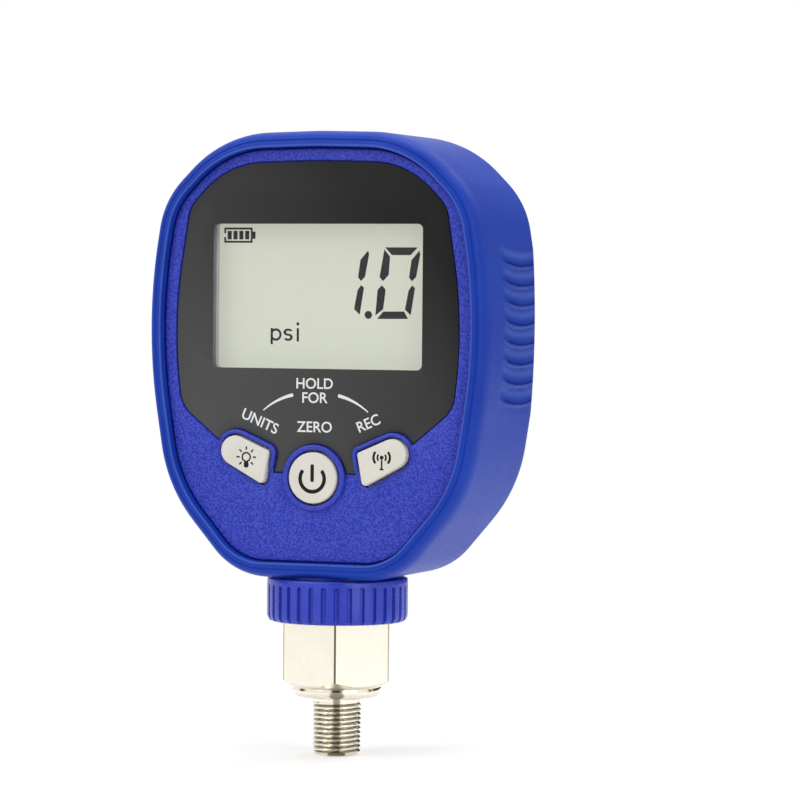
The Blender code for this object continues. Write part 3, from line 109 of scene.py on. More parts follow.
# Keys, as circles in mm that a belt runs round, clockwise from the front
POWER_BELT = [(0, 57.05, 5.33)]
WIRELESS_BELT = [(10.2, 61.9, 0.75), (17.1, 62.2, 3.2), (11.4, 56.6, 1)]
LIGHT_BELT = [(-x, z, r) for x, z, r in WIRELESS_BELT[::-1]]
KEY_INSET = 0.15
FLANGE = 0.8
# Each key's name, belt, width of rim and place of plunger
KEYS = [
    ("power", POWER_BELT, 1.05, (0, 57.05)),
    ("light", LIGHT_BELT, 0.8, (-15, 61)),
    ("wireless", WIRELESS_BELT, 0.8, (15, 61)),
]

# Segments of a digit by their usual letters, in mm from its lower left corner, before the slant
SEGMENTS = {
    "a": [(0.3, 14.4), (7.3, 14.4), (6, 12.85), (2, 12.85)],
    "b": [(7.75, 13.75), (8.05, 12.95), (7.85, 8.5), (7.1, 7.6), (6.35, 8.35), (6.35, 11.85)],
    "c": [(7.25, 6.8), (7.95, 6.25), (7.85, 0.8), (6.45, 1.95), (6.65, 5.75)],
    "d": [(1.85, 1.5), (6.3, 1.55), (7.4, 0.07), (0.7, 0)],
    "e": [(0.75, 6.8), (1.7, 5.9), (1.75, 1.95), (0.25, 0.7), (-0.05, 5.85)],
    "f": [(0.2, 14), (1.65, 12.5), (1.9, 8.85), (0.85, 7.6), (0, 8.45)],
    "g": [(1.2, 7.2), (2.1, 7.95), (6, 7.95), (6.85, 7.2), (5.9, 6.45), (2.1, 6.45)],
}
LIT = {"0": "afbecd", "1": "bc", "2": "abged", "3": "abgcd", "4": "fbgc", "5": "afgcd", "6": "afgecd",
       "7": "abc", "8": "afbgecd", "9": "afbgcd"}
LAST_DIGIT = (10.95, 89.16)
DIGIT_PITCH = 11.0
DIGIT_SLANT = 0.142
POINT_RADIUS = 0.8
INK_THICKNESS = 0.02


def linear(colour):
    """An sRGB hex colour as linear RGBA."""
    channels = [int(colour[i:i + 2], 16) / 255.0 for i in (0, 2, 4)]
    return (*[c / 12.92 if c <= 0.04045 else ((c + 0.055) / 1.055) ** 2.4 for c in channels], 1.0)


def feed(node, inputs):
    """Link a node's inputs to sockets or to the first outputs of nodes, or set them to values."""
    for key, value in inputs.items():
        if isinstance(value, bpy.types.Node):
            value = value.outputs[0]
        if isinstance(value, bpy.types.NodeSocket):
            node.id_data.links.new(value, node.inputs[key])
        else:
            node.inputs[key].default_value = value
    return node


def add_node(tree, kind, inputs=None, **settings):
    """Add a shader node of a kind, set its properties and feed its inputs."""
    node = tree.nodes.new("ShaderNode" + kind)
    for key, value in settings.items():
        setattr(node, key, value)
    return feed(node, inputs or {})


def plain(name, inputs):
    """A material whose Principled shader is fed as told, and that shader."""
    made = bpy.data.materials.new(name)
    made.use_nodes = True
    return made, feed(made.node_tree.nodes["Principled BSDF"], inputs)


MATERIALS = {}


def finish(slot, name, colour, second, roughness, metallic=0.0, grain_mm=0.3, height_mm=0.01, blotch_mm=6.0,
           stretch=(1.0, 1.0, 1.0), spread=0.06, edge=0.2, **sockets):
    """Keep a material whose colour drifts between two tones and whose grain bumps and dulls it.

    It is kept under the record's slot or the print it is for, and its shader is given back.
    """
    sockets = {key.replace("_", " "): value for key, value in sockets.items()}
    made, shader = plain(name, {"Metallic": metallic, **sockets})
    tree = made.node_tree
    place = add_node(tree, "TexCoord").outputs["Object"]
    drawn = add_node(tree, "Mapping", {"Vector": place, "Scale": stretch})
    grain = add_node(tree, "TexNoise", {
        "Vector": drawn, "Scale": 1 / (grain_mm * MM), "Detail": 3.0})
    blotch = add_node(tree, "TexNoise", {
        "Vector": place, "Scale": 1 / (blotch_mm * MM), "Detail": 4.0})
    share = add_node(tree, "MapRange", {
        "Value": blotch, "From Min": 0.5 - edge, "From Max": 0.5 + edge})
    feed(shader, {
        "Base Color": add_node(tree, "MixRGB", {
            "Fac": share, "Color1": linear(colour), "Color2": linear(second)}),
        "Roughness": add_node(tree, "MapRange", {
            "Value": grain, "From Min": 0.3, "From Max": 0.7,
            "To Min": roughness - spread, "To Max": roughness + spread}),
        "Normal": add_node(tree, "Bump", {
            "Height": grain, "Strength": 1.0, "Distance": height_mm * MM}),
    })
    MATERIALS[slot] = made
    return shader


def shade_along(shader, direction, low_mm, high_mm, second, share=1.0):
    """Blend a shader's colour towards a second tone between two places along a direction."""
    tree = shader.id_data
    place = add_node(tree, "TexCoord").outputs["Object"]
    along = add_node(tree, "VectorMath", {0: place, 1: direction}, operation="DOT_PRODUCT")
    amount = add_node(tree, "MapRange", {
        "Value": along.outputs["Value"], "From Min": low_mm * MM, "From Max": high_mm * MM, "To Max": share})
    before = shader.inputs["Base Color"].links[0].from_socket
    feed(shader, {"Base Color": add_node(tree, "MixRGB", {
        "Fac": amount, "Color1": before, "Color2": linear(second)})})


def paint_light_by_mark(shader, pale, dark, gloss):
    """Blend a shader's colour by the mesh's own mark of painted light: a painted highlight above zero, and
    painted shade, dark and dull, below.
    """
    tree = shader.id_data
    mixed = shader.inputs["Base Color"].links[0].from_socket
    mark = add_node(tree, "Attribute", attribute_name="painted_light").outputs["Fac"]
    for end, second in ((1.0, pale), (-1.0, dark)):
        share = add_node(tree, "MapRange", {"Value": mark, "From Min": 0.0, "From Max": end})
        mixed = add_node(tree, "MixRGB", {"Fac": share, "Color1": mixed, "Color2": linear(second)})
    dull = add_node(tree, "MapRange", {
        "Value": mark, "From Min": -0.6, "From Max": 0.0, "To Max": gloss})
    feed(shader, {"Base Color": mixed, "Specular IOR Level": dull})


def make_materials():
    """Make every finish."""
    look = bpy.context.scene.gauge_finishes
    # Moulded thermoplastic rubber: satin, with little shine and a faint dusty drift. A painted highlight
    # pales the scales' tops and the lip's bead, and painted shade darkens the creases under the scales
    rubber = finish("boot_rubber", "moulded_boot_rubber", look.boot, look.boot_second, 0.45, grain_mm=0.5,
                    height_mm=0.008, blotch_mm=14.0)
    paint_light_by_mark(rubber, look.boot_painted_highlight, look.boot_painted_shade, 0.18)
    # ABS from a spark-eroded mould: an even 0.4 mm orange-peel grain whose bumps glint, with more glints
    # painted in as light specks
    finish("case_abs", "spark_eroded_abs", look.case, look.case_painted_glint, 0.42, grain_mm=0.4, height_mm=0.05,
           blotch_mm=0.4, edge=0.1, Specular_IOR_Level=0.3)
    # The same ABS from a smoother part of the mould, on the key rims, with softer painted glints
    finish("rim_abs", "fine_eroded_abs", look.case, look.case_painted_glint, 0.36, grain_mm=0.4, blotch_mm=0.6,
           edge=0.3, Specular_IOR_Level=0.35)
    # Collar: glass-filled nylon, slightly waxy with faint flow marks
    finish("collar_abs", "moulded_collar_nylon", look.collar, look.collar_second, 0.30, grain_mm=0.4,
           height_mm=0.006, blotch_mm=5.0)
    # Printed polyester film: a fine velvet top coat, dark, with a painted reflection that pales it towards
    # its lower left
    film = finish("overlay_print", "velvet_polyester_film", look.overlay, look.overlay_second, 0.48,
                  grain_mm=0.2, height_mm=0.004, blotch_mm=20.0, Specular_IOR_Level=0.15)
    # Painted reflection: the film pales towards its lower left
    shade_along(film, (-0.629, 0.0, -0.777), -95.3, -32.7, look.overlay_painted_reflection)
    # Cast acrylic: clear, polished, only its reflections show
    finish("window_acrylic", "polished_acrylic", "D8DAD6", "D4D6D2", 0.04, grain_mm=3.0, height_mm=0.0005,
           spread=0.01, Alpha=0.03, Specular_IOR_Level=0.25)
    # Twisted nematic glass over a reflector: grey-green, faintly pearly, lifted by a painted glow, with
    # painted shade that leaves it darker at its top than at its foot
    display = finish("lcd_glass", "reflective_display_glass", look.display, look.display_second, 0.4,
                     grain_mm=0.15, height_mm=0.001, blotch_mm=24.0, Specular_IOR_Level=0.3,
                     Emission_Color=linear(look.display_painted_glow), Emission_Strength=0.5)
    # Painted shade: the display darkens from its foot towards its top
    shade_along(display, (0.0, 0.0, -1.0), -106.0, -80.0, look.display_painted_lit_foot, 0.7)
    # Liquid crystal dye: matte near-black with a violet cast
    finish("segment_dye", "segment_dye", "121119", "17161E", 0.6, height_mm=0.0005, Specular_IOR_Level=0.1)
    # Screen-printed white ink on the film
    finish("white_ink", "screen_print_white", "F4F6F4", "ECEEED", 0.5, height_mm=0.001)
    # Pad-printed charcoal ink on the keys
    finish("key_ink", "pad_print_charcoal", "1F1E1C", "272420", 0.55, height_mm=0.001, Specular_IOR_Level=0.1)
    # Keys: warm white ABS with a fine satin skin
    finish("key_abs", "satin_key_abs", look.keys, look.keys_second, 0.42, height_mm=0.004, blotch_mm=5.0)
    # Stainless steel bar, turned: fine rings round the axis, warm and bright, with painted shade in the
    # thread's roots
    turned = finish("stem_stainless", "turned_stainless", "F4EDDD", "EAE3D3", 0.15, 1.0, grain_mm=0.9,
                    height_mm=0.004, blotch_mm=3.0, stretch=(0.25, 0.25, 9.0), Anisotropic=0.3)
    paint_light_by_mark(turned, "F4EDDD", "8A806C", 0.5)
    # The hexagon keeps the drawn bar's skin: finer, with lines along the bar
    finish("drawn_stainless", "drawn_stainless", "F5F0E1", "EFEADB", 0.22, 1.0, grain_mm=0.8,
           height_mm=0.001, blotch_mm=4.0, stretch=(6.0, 6.0, 0.3), spread=0.03)
    # Its corners are broken by a file: narrow bright lands that mirror what is in front of them
    finish("filed_stainless", "filed_stainless", "B5AE9F", "A39C8D", 0.1, 1.0, height_mm=0.0005,
           blotch_mm=2.0, spread=0.02)
    # Pieces inside: moulded, fired, plated and drawn stock, told apart by colour, roughness and metal
    for row in (
        ("white_styrene", "moulded_styrene", "B9BBB8", "AFB1AE", 0.5),
        ("diffuser_acrylic", "milky_light_guide", "F2F4EE", "E6E9E2", 0.3),
        ("led_epoxy", "led_epoxy", "F3E9B4", "E9DD9C", 0.3),
        ("grey_silicone", "moulded_silicone", "8C9092", "84888A", 0.6),
        ("elastomer_strip", "striped_elastomer", "D58C8C", "7A5656", 0.6),
        ("board_laminate", "green_solder_mask", "1E6B3C", "18582F", 0.4),
        ("chip_epoxy", "moulded_chip_epoxy", "1A1A1C", "222224", 0.5),
        ("tinned_can", "tinned_steel", "B9BCBE", "A4A7AA", 0.3, 1.0),
        ("spring_steel", "drawn_spring_wire", "B4B6B8", "9DA0A2", 0.3, 1.0),
        ("screw_zinc", "zinc_plate", "A9ABAE", "8F9498", 0.35, 1.0),
        ("nitrile_seal", "moulded_nitrile", "16171A", "1D1E22", 0.6),
        ("sensor_ceramic", "fired_alumina", "E9E7E0", "DDDBD2", 0.4),
        ("cell_sleeve", "shrunk_cell_sleeve", "55585C", "4A4D51", 0.35),
        ("contact_nickel", "nickel_plate", "C7C4BA", "B3B0A6", 0.28, 1.0),
        ("lead_jacket", "ribbon_insulation", "C9CACB", "BDBEBF", 0.5),
        ("socket_nylon", "natural_nylon", "ECE9DE", "E2DECF", 0.45),
    ):
        finish(*row)


def mirrored(right):
    """A closed outline, clockwise from the front, from its right half."""
    return right + [(-x, z, radius, steps) for x, z, radius, steps in right[:0:-1]]


def head(waist_steps=WAIST_STEPS):
    """The head's outline with a chosen fineness at the waist."""
    return mirrored([(x, z, r, waist_steps if n == WAIST_STEPS else n) for x, z, r, n in HEAD_RIGHT])


def oblong(half, low, high, rounding, steps):
    """A rectangle about the middle line with rounded corners."""
    return [(x, z, rounding, steps) for x, z in ((-half, high), (half, high), (half, low), (-half, low))]


WINDOW = oblong(22.8, 79.0, 108.2, 1.1, 8)


def spun_row(form, start, centre, turn, steps):
    """Spin one vertex about an axis along Y and give back the row that it leaves."""
    count = len(form.verts)
    first = form.verts.new(start)
    bmesh.ops.spin(form, geom=[first], cent=centre, axis=(0.0, 1.0, 0.0), angle=turn, steps=steps,
                   use_merge=False, use_duplicate=False)
    form.verts.ensure_lookup_table()
    return form.verts[count:]


def rounded_face(form, corners, y_mm):
    """A flat face across Y with every corner rounded, from x, z, rounding and steps in mm."""
    places = [Vector((x, y_mm, z)) * MM for x, z, radius, steps in corners]
    ring = []
    for i, corner in enumerate(places):
        radius, steps = corners[i][2] * MM, corners[i][3]
        back = (places[i - 1] - corner).normalized()
        ahead = (places[(i + 1) % len(places)] - corner).normalized()
        half = back.angle(ahead) / 2
        turn = math.pi - 2 * half
        if back.cross(ahead).y > 0:
            turn = -turn
        centre = corner + (back + ahead).normalized() * radius / math.sin(half)
        ring += spun_row(form, corner + back * radius / math.tan(half), centre, turn, steps)
    return form.faces.new(ring)


def touching_angle(a, b):
    """Direction from each centre to where the outer tangent touches two circles."""
    across, up = b[0] - a[0], b[1] - a[1]
    return math.atan2(up, across) + math.acos((a[2] - b[2]) / math.hypot(across, up))


def belt_face(form, circles, y_mm, grow_mm=0.0, fineness=10.0):
    """A flat face across Y inside a belt pulled round circles, grown outwards; one circle has 72 sides."""
    ring = []
    count = len(circles)
    for i, (x, z, radius) in enumerate(circles):
        centre = Vector((x, y_mm, z)) * MM
        if count == 1:
            start, turn, steps = math.pi / 2, 2 * math.pi * (1 - 1 / 72), 71
        else:
            start = touching_angle(circles[i - 1], circles[i])
            turn = (start - touching_angle(circles[i], circles[(i + 1) % count])) % (2 * math.pi)
            steps = max(4, round(math.degrees(turn) / fineness))
        first = centre + Vector((math.cos(start), 0.0, math.sin(start))) * ((radius + grow_mm) * MM)
        ring += spun_row(form, first, centre, turn, steps)
    return form.faces.new(ring)


def shift(cap, inset_mm, depth_mm):
    """Move a flat face inwards by an even inset, and along Y."""
    cap.normal_update()
    normal = cap.normal.copy()
    moves = []
    for loop in cap.loops:
        here = loop.vert.co
        back = (here - loop.link_loop_prev.vert.co).normalized().cross(normal)
        ahead = (loop.link_loop_next.vert.co - here).normalized().cross(normal)
        mitre = (back + ahead) / (1 + back.dot(ahead))
        moves.append((loop.vert, Vector((0.0, depth_mm, 0.0)) * MM - mitre * inset_mm * MM))
    for vert, move in moves:
        vert.co += move


def two_caps(form, face, depth_mm):
    """Give a face depth along Y and return the moved cap."""
    grown = bmesh.ops.extrude_face_region(form, geom=[face])["geom"]
    cap = [g for g in grown if isinstance(g, bmesh.types.BMFace)][0]
    bmesh.ops.translate(form, verts=cap.verts, vec=(0.0, depth_mm * MM, 0.0))
    return cap


def walk(form, cap, start, rows):
    """Carry a cap from one inset and depth through more rows of them, leaving a wall behind it."""
    at = start
    for inset, depth in rows:
        cap = bmesh.ops.extrude_discrete_faces(form, faces=[cap])["faces"][0]
        shift(cap, inset - at[0], depth - at[1])
        at = (inset, depth)
    return cap


def quarter(start, radius_in, radius_deep, steps):
    """Rows round a quarter turn, from running along Y to running inwards."""
    turns = [math.pi / 2 * i / steps for i in range(1, steps + 1)]
    return [(start[0] + radius_in * (1 - math.cos(a)), start[1] + radius_deep * math.sin(a)) for a in turns]


def block(outline, near_mm, far_mm, grow_mm=0.0):
    """A flat plate with straight sides from rounded corners, and its near and far caps."""
    form = bmesh.new()
    near = rounded_face(form, outline, near_mm)
    shift(near, -grow_mm, 0.0)
    return form, near, two_caps(form, near, far_mm - near_mm)


def slab(*sizes):
    """A flat plate alone, from the same sizes as a block."""
    return block(*sizes)[0]


def belt_block(circles, near_mm, far_mm, grow_mm=0.0, fineness=10.0):
    """A flat plate with straight sides inside a grown belt, and its near and far caps."""
    form = bmesh.new()
    near = belt_face(form, circles, near_mm, grow_mm, fineness)
    return form, near, two_caps(form, near, far_mm - near_mm)


def box_form(low, high):
    """A box between two corners in mm."""
    form = bmesh.new()
    bmesh.ops.create_cube(form, size=MM)
    bmesh.ops.scale(form, vec=[h - l for l, h in zip(low, high)], verts=form.verts)
    bmesh.ops.translate(form, vec=[(h + l) / 2 * MM for l, h in zip(low, high)], verts=form.verts)
    return form


def turned_form(profile, steps=96):
    """A solid of revolution about Z, from radius and height in mm, closed on itself or on the axis."""
    form = bmesh.new()
    verts = [form.verts.new((r * MM, 0.0, h * MM)) for r, h in profile]
    edges = [form.edges.new(pair) for pair in zip(verts, verts[1:])]
    if profile[0][0] > 0:
        edges.append(form.edges.new((verts[-1], verts[0])))
    bmesh.ops.spin(form, geom=verts + edges, cent=(0.0, 0.0, 0.0), axis=(0.0, 0.0, 1.0),
                   angle=2 * math.pi, steps=steps, use_merge=True, use_duplicate=False)
    bmesh.ops.remove_doubles(form, verts=form.verts, dist=1e-7)
    return form


def cylinder(radius, low, high):
    """A plain cylinder on the stem's axis."""
    return turned_form([(0.0, low), (radius, low), (radius, high), (0.0, high)])


def new_object(name, data):
    """An object in the scene that holds some data."""
    made = bpy.data.objects.new(name, data)
    bpy.context.scene.collection.objects.link(made)
    return made


def new_mesh(name, form):
    """An object that holds a form, which it uses up."""
    mesh = bpy.data.meshes.new(name)
    form.to_mesh(mesh)
    form.free()
    return new_object(name, mesh)


def finished_mesh(holder):
    """The mesh of an object as its modifiers or its text leave it."""
    graph = bpy.context.evaluated_depsgraph_get()
    return bpy.data.meshes.new_from_object(holder.evaluated_get(graph))


def carved(form, tools, operation="DIFFERENCE"):
    """Cut a form with others, or join or intersect them, by exact Booleans."""
    solids = []
    for solid in (form, *tools):
        bmesh.ops.recalc_face_normals(solid, faces=solid.faces)
        solids.append(new_mesh("solid", solid))
    for other in solids[1:]:
        step = solids[0].modifiers.new("step", "BOOLEAN")
        step.operation = operation
        step.solver = "EXACT"
        step.object = other
    result = bmesh.new()
    result.from_mesh(finished_mesh(solids[0]))
    for solid in solids:
        bpy.data.objects.remove(solid, do_unlink=True)
    return result


def make_piece(name, form, material, stands_for=None, body="gauge", crease=35.0, soften_mm=0.0):
    """Turn a form into a finished piece on a body with its material, and hide the CAD node that it stands
    for.
    """
    bmesh.ops.recalc_face_normals(form, faces=form.faces)
    piece = new_mesh(name, form)
    if soften_mm:
        edge = piece.modifiers.new("soft_edges", "BEVEL")
        edge.width = soften_mm * MM
        edge.segments = 2
        edge.limit_method = "ANGLE"
        edge.angle_limit = math.radians(50.0)
        piece.data = finished_mesh(piece)
        piece.modifiers.clear()
    piece.data.shade_smooth()
    piece.data.set_sharp_from_angle(angle=math.radians(crease))
    piece.data.materials.clear()
    piece.data.materials.append(MATERIALS[material])
    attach(piece, body)
    if stands_for:
        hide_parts(stands_for)
    return piece


def arch(at, centre, half):
    """A bow that is one at a centre and falls to nought at half a width from it."""
    return max(0.0, 1 - ((at - centre) / half) ** 2)


def scoop_flanks(form, sizes):
    """Flatten the middle of both flanks and leave overlapping finger scales standing on it."""
    pitch, rise = sizes.scoop_pitch / MM, sizes.scoop_rise / MM
    underside, height, painted_band_top = 0.7, 3.0, 3.1
    painted_light = form.verts.layers.float.new("painted_light")
    for vert in form.verts:
        y, z = vert.co.y / MM, vert.co.z / MM
        if abs(vert.co.x) < 30 * MM:
            continue
        press = sizes.flank_flat * (arch(y, 12.0, 16.0) * arch(z, 86.5, 17.0))
        swell = arch(y, 9.2, 13.0)
        above = z - sizes.scoop_low - rise * (1 - swell ** 0.7)
        cell = math.floor((above + underside) / pitch)
        if swell > 0 and 0 <= cell < sizes.scoop_count:
            up = above - cell * pitch
            bump = max(0.0, min(1 + up / underside, 1 - up / (height * swell ** 0.5)))
            press -= sizes.scoop_depth * arch(y, 7.5, 10.5) ** 0.8 * bump
            # Painted light on each scale: painted shade along its lower edge and underside, and a painted
            # highlight on the part above
            if up < painted_band_top:
                pale = max(-0.75, min(0.6 * (up - 1.1), 0.5 * (painted_band_top - up), 0.5))
                vert[painted_light] = min(1.0, 2.0 * swell) * pale * min(1.0, 1 + up / underside)
        vert.co.x -= math.copysign(1.0, vert.co.x) * press


def build_boot():
    """The moulded rubber boot: beaded lip, finger scales, rounded back edge and back opening."""
    rows, top = 40, FLANK_BACK - 1.0
    form, back, cap = block(head(), FLANK_BACK, top)
    depths = [top + (FLANK_FRONT - top) * i / rows for i in range(1, rows + 1)]
    cap = walk(form, cap, (0.0, top), [(0.0, depth) for depth in depths])
    walk(form, back, (0.0, FLANK_BACK), quarter((0.0, FLANK_BACK), 6.0, 6.0, 10))
    scoop_flanks(form, bpy.context.scene.gauge_head)
    walk(form, cap, (0.0, FLANK_FRONT), [
        *quarter((0.0, FLANK_FRONT), 1.7, -4.1, 8),
        (1.80, -13.98), (1.98, -13.98), (2.08, -14.18), (2.25, -14.26), (2.62, -14.30), (2.76, -14.48),
        (2.90, -14.57), (3.03, LIP_FRONT), (3.14, -14.57), (3.25, -14.45), (3.30, -14.28),
        (3.30, LEDGE - GAP), (1.80, LEDGE - GAP), (1.80, FLANK_BACK),
        *quarter((1.8, FLANK_BACK), 4.2, 4.2, 6),
    ])
    # A painted highlight along the crest of the lip's bead
    painted_light = form.verts.layers.float["painted_light"]
    for vert in form.verts:
        if vert.co.y < (LIP_FRONT + 0.1) * MM:
            vert[painted_light] = 0.5
    flare = HEAD_BACK - 0.5
    opening, _, cap = block(mirrored(BACK_RIGHT), 15.0, flare)
    walk(opening, cap, (0.0, flare), [(-0.08, HEAD_BACK - 0.25), (-0.3, HEAD_BACK), (-0.3, FAR_BACK)])
    form = carved(form, [opening, cylinder(*BOOT_NECK)])
    make_piece("boot_skin", form, "boot_rubber", "rubber_boot")


def build_case():
    """The two case shells, the raised key rims and the battery cover."""
    form, inner, front = block(head(waist_steps=20), -PARTING, LEDGE, -CASE_INSET)
    walk(form, inner, (CASE_INSET, -PARTING), [(CASE_INNER, -PARTING), (CASE_INNER, FACE_INNER)])
    walk(form, front, (CASE_INSET, LEDGE), [
        (3.6, LEDGE), (3.6, FACE + 0.25), (3.66, FACE + 0.1), (3.78, FACE + 0.03), (3.95, FACE)])
    belts = (POWER_BELT, WIRELESS_BELT, LIGHT_BELT)
    form = carved(form, [
        slab(mirrored(OVERLAY_RIGHT), FAR_FRONT, PANE_FRONT, GAP),
        slab(WINDOW, FAR_FRONT, 0.0, 1.7),
        cylinder(*CASE_NECK),
        *[belt_block(circles, FAR_FRONT, 0.0, GAP)[0] for circles in belts],
    ])
    make_piece("front_shell", form, "case_abs", "front_case", crease=40.0,
               soften_mm=bpy.context.scene.gauge_head.case_edge / MM)
    for name, circles, width, _ in KEYS:
        build_rim(name, circles, width)
    build_rear()


def build_rim(name, circles, width):
    """A raised rim round a key; those of the side keys sink into the face below a slanting line."""
    base, top, rise, slope = FACE + 0.05, RIM_FRONT, 0.6, 2.0
    form, back, cap = belt_block(circles, base, base - rise, GAP + width)
    cap = walk(form, cap, (0.0, base - rise), [
        (0.0, top + 0.22), (0.06, top + 0.08), (0.2, top), (width - 0.2, top), (width - 0.06, top + 0.08),
        (width, top + 0.22), (width, base)])
    edges = list({*cap.edges, *back.edges})
    bmesh.ops.delete(form, geom=[cap, back], context="FACES_ONLY")
    bmesh.ops.bridge_loops(form, edges=edges)
    if len(circles) > 1:
        side = math.copysign(1.0, circles[0][0])
        foot = Vector((side * 9.0, 0.0, 59.6)) * MM
        along = (Vector((side * 21.8, 0.0, 66.0)) * MM - foot).normalized()
        down = Vector((along.z, 0.0, -along.x)) * side
        for step in range(5):
            bmesh.ops.bisect_plane(form, geom=form.verts[:] + form.edges[:] + form.faces[:], dist=1e-7,
                                   plane_co=foot + down * (slope * step / 4) * MM, plane_no=down)
        for vert in form.verts:
            sunk = min(1.0, max(0.0, (vert.co - foot).dot(down) / MM / slope))
            vert.co.y += (base * MM - vert.co.y) * sunk * sunk * (3 - 2 * sunk)
    make_piece("key_rim_" + name, form, "rim_abs", crease=40.0)


def build_rear():
    """The rear shell with its raised island and battery bay, and the cover that closes the bay."""
    form, inner, back = block(head(waist_steps=20), PARTING, FLANK_BACK, -CASE_INSET)
    walk(form, inner, (CASE_INSET, PARTING), [
        (CASE_INNER, PARTING), (CASE_INNER, FLANK_BACK), *quarter((CASE_INNER, FLANK_BACK), 1.5, 1.5, 4)])
    walk(form, back, (CASE_INSET, FLANK_BACK), quarter((CASE_INSET, FLANK_BACK), 3.9, 3.9, 8))
    shoulder, edge = ISLAND_BACK - 0.3, ISLAND_BACK - 0.1
    island, _, cap = block(mirrored(BACK_RIGHT), ISLAND_FOOT, shoulder, -GAP)
    walk(island, cap, (0.0, shoulder), [(0.06, edge), (0.2, ISLAND_BACK)])
    low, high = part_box("battery_door")
    half, bottom, top = high.x / MM, low.z / MM, high.z / MM
    wall, lip = 1.8, 1.4
    bay_block = box_form((-half - wall, 3.5, bottom - wall), (half + wall, 20.0, top + wall))
    form = carved(form, [island, bay_block], "UNION")
    cover = oblong(half, bottom, top, 3.0, 8)
    form = carved(form, [
        box_form((lip - half, 5.0, bottom + lip), (half - lip, FAR_BACK, top - lip)),
        slab(cover, ISLAND_BACK - 1.9, FAR_BACK, GAP),
        cylinder(*CASE_NECK),
    ])
    make_piece("rear_shell", form, "case_abs", "rear_case", crease=40.0)
    form, _, cap = block(cover, ISLAND_BACK - 1.6, shoulder)
    walk(form, cap, (0.0, shoulder), [(0.06, edge), (0.14, ISLAND_BACK - 0.04), (0.3, ISLAND_BACK)])
    grooves = [oblong(7.0, z - 1.0, z, 0.48, 5) for z in [top - 5.0 - 2.2 * i for i in range(4)]]
    form = carved(form, [slab(groove, ISLAND_BACK - 0.5, FAR_BACK) for groove in grooves])
    make_piece("battery_cover", form, "case_abs", "battery_door", crease=40.0, soften_mm=0.12)


def absorb(form, drawn):
    """Put a shape drawn on its own into a form, and use it up."""
    mesh = bpy.data.meshes.new("drawn")
    drawn.to_mesh(mesh)
    drawn.free()
    form.from_mesh(mesh)
    bpy.data.meshes.remove(mesh)


def arc(centre, radius, stroke, angles, steps=24, end_stroke=None, round_ends=True, mirror=False):
    """A flat stroke along an arc in mm and degrees, clockwise from the front, which may taper."""
    start, end = (math.radians(a) for a in angles)
    middle = Vector((centre[0], 0.0, centre[1])) * MM
    out = Vector((math.cos(start), 0.0, math.sin(start)))
    form = bmesh.new()
    pair = [form.verts.new(middle + out * (radius + s * stroke / 2) * MM) for s in (-1, 1)]
    edge = form.edges.new(pair)
    bmesh.ops.spin(form, geom=[*pair, edge], cent=middle, axis=(0.0, 1.0, 0.0), angle=start - end,
                   steps=steps, use_merge=False, use_duplicate=False)
    if end_stroke is not None:
        for vert in form.verts:
            arm = vert.co - middle
            share = (start - math.atan2(arm.z, arm.x)) / (start - end)
            width = (stroke + (end_stroke - stroke) * share) / stroke
            vert.co = middle + arm.normalized() * (radius * MM + (arm.length - radius * MM) * width)
    if round_ends:
        tip = middle + Vector((math.cos(end), 0.0, math.sin(end))) * radius * MM
        width = (end_stroke or stroke) * MM
        ends = [v for v in form.verts if len(v.link_edges) == 2
                and (end_stroke is None or (v.co - tip).length < width)]
        bmesh.ops.bevel(form, geom=ends, offset=0.45 * width, segments=4, profile=0.5,
                        affect="VERTICES", material=-1)
    if mirror:
        bmesh.ops.scale(form, vec=(-1.0, 1.0, 1.0), verts=form.verts)
    return form


def bar(centre, width, height, rounding, turn=0.0):
    """A flat bar in mm with round corners, turned clockwise in degrees."""
    c, s = math.cos(math.radians(turn)), math.sin(math.radians(turn))
    form = bmesh.new()
    rounded_face(form, [(centre[0] + x * c + z * s, centre[1] - x * s + z * c, r, n)
                        for x, z, r, n in oblong(width / 2, -height / 2, height / 2, rounding, 4)], 0.0)
    return form


def disc(centre, radius):
    """A flat disc in mm."""
    form = bmesh.new()
    belt_face(form, [(*centre, radius)], 0.0)
    return form


def ink(name, material, y_mm, shapes, body="gauge"):
    """Print flat shapes at a depth as one piece with an ink's thickness."""
    form = bmesh.new()
    for shape in shapes:
        absorb(form, shape)
    bmesh.ops.translate(form, verts=form.verts, vec=(0.0, y_mm * MM, 0.0))
    grown = bmesh.ops.extrude_face_region(form, geom=form.faces[:])["geom"]
    moved = [g for g in grown if isinstance(g, bmesh.types.BMVert)]
    bmesh.ops.translate(form, verts=moved, vec=(0.0, -INK_THICKNESS * MM, 0.0))
    make_piece(name, form, material, body=body)


def lettering(words, y_mm):
    """Flat letters as one form, from text, centre, height, width share and turn in degrees."""
    form = bmesh.new()
    for text, x, z, size, narrow, turn in words:
        line = bpy.data.curves.new(text, "FONT")
        line.body = text
        line.align_x = "CENTER"
        line.align_y = "CENTER"
        line.size = size * MM
        line.extrude = INK_THICKNESS / 2 * MM
        line.offset = 0.012 * size * MM
        holder = new_object(text, line)
        mesh = finished_mesh(holder)
        bpy.data.objects.remove(holder, do_unlink=True)
        place = Matrix.Translation(Vector((x, y_mm, z)) * MM)
        upright = Matrix.Rotation(math.radians(-turn), 4, "Y") @ Matrix.Rotation(math.radians(90.0), 4, "X")
        mesh.transform(place @ upright @ Matrix.Diagonal((narrow, 1.0, 1.0, 1.0)))
        form.from_mesh(mesh)
    bmesh.ops.remove_doubles(form, verts=form.verts, dist=1e-7)
    return form


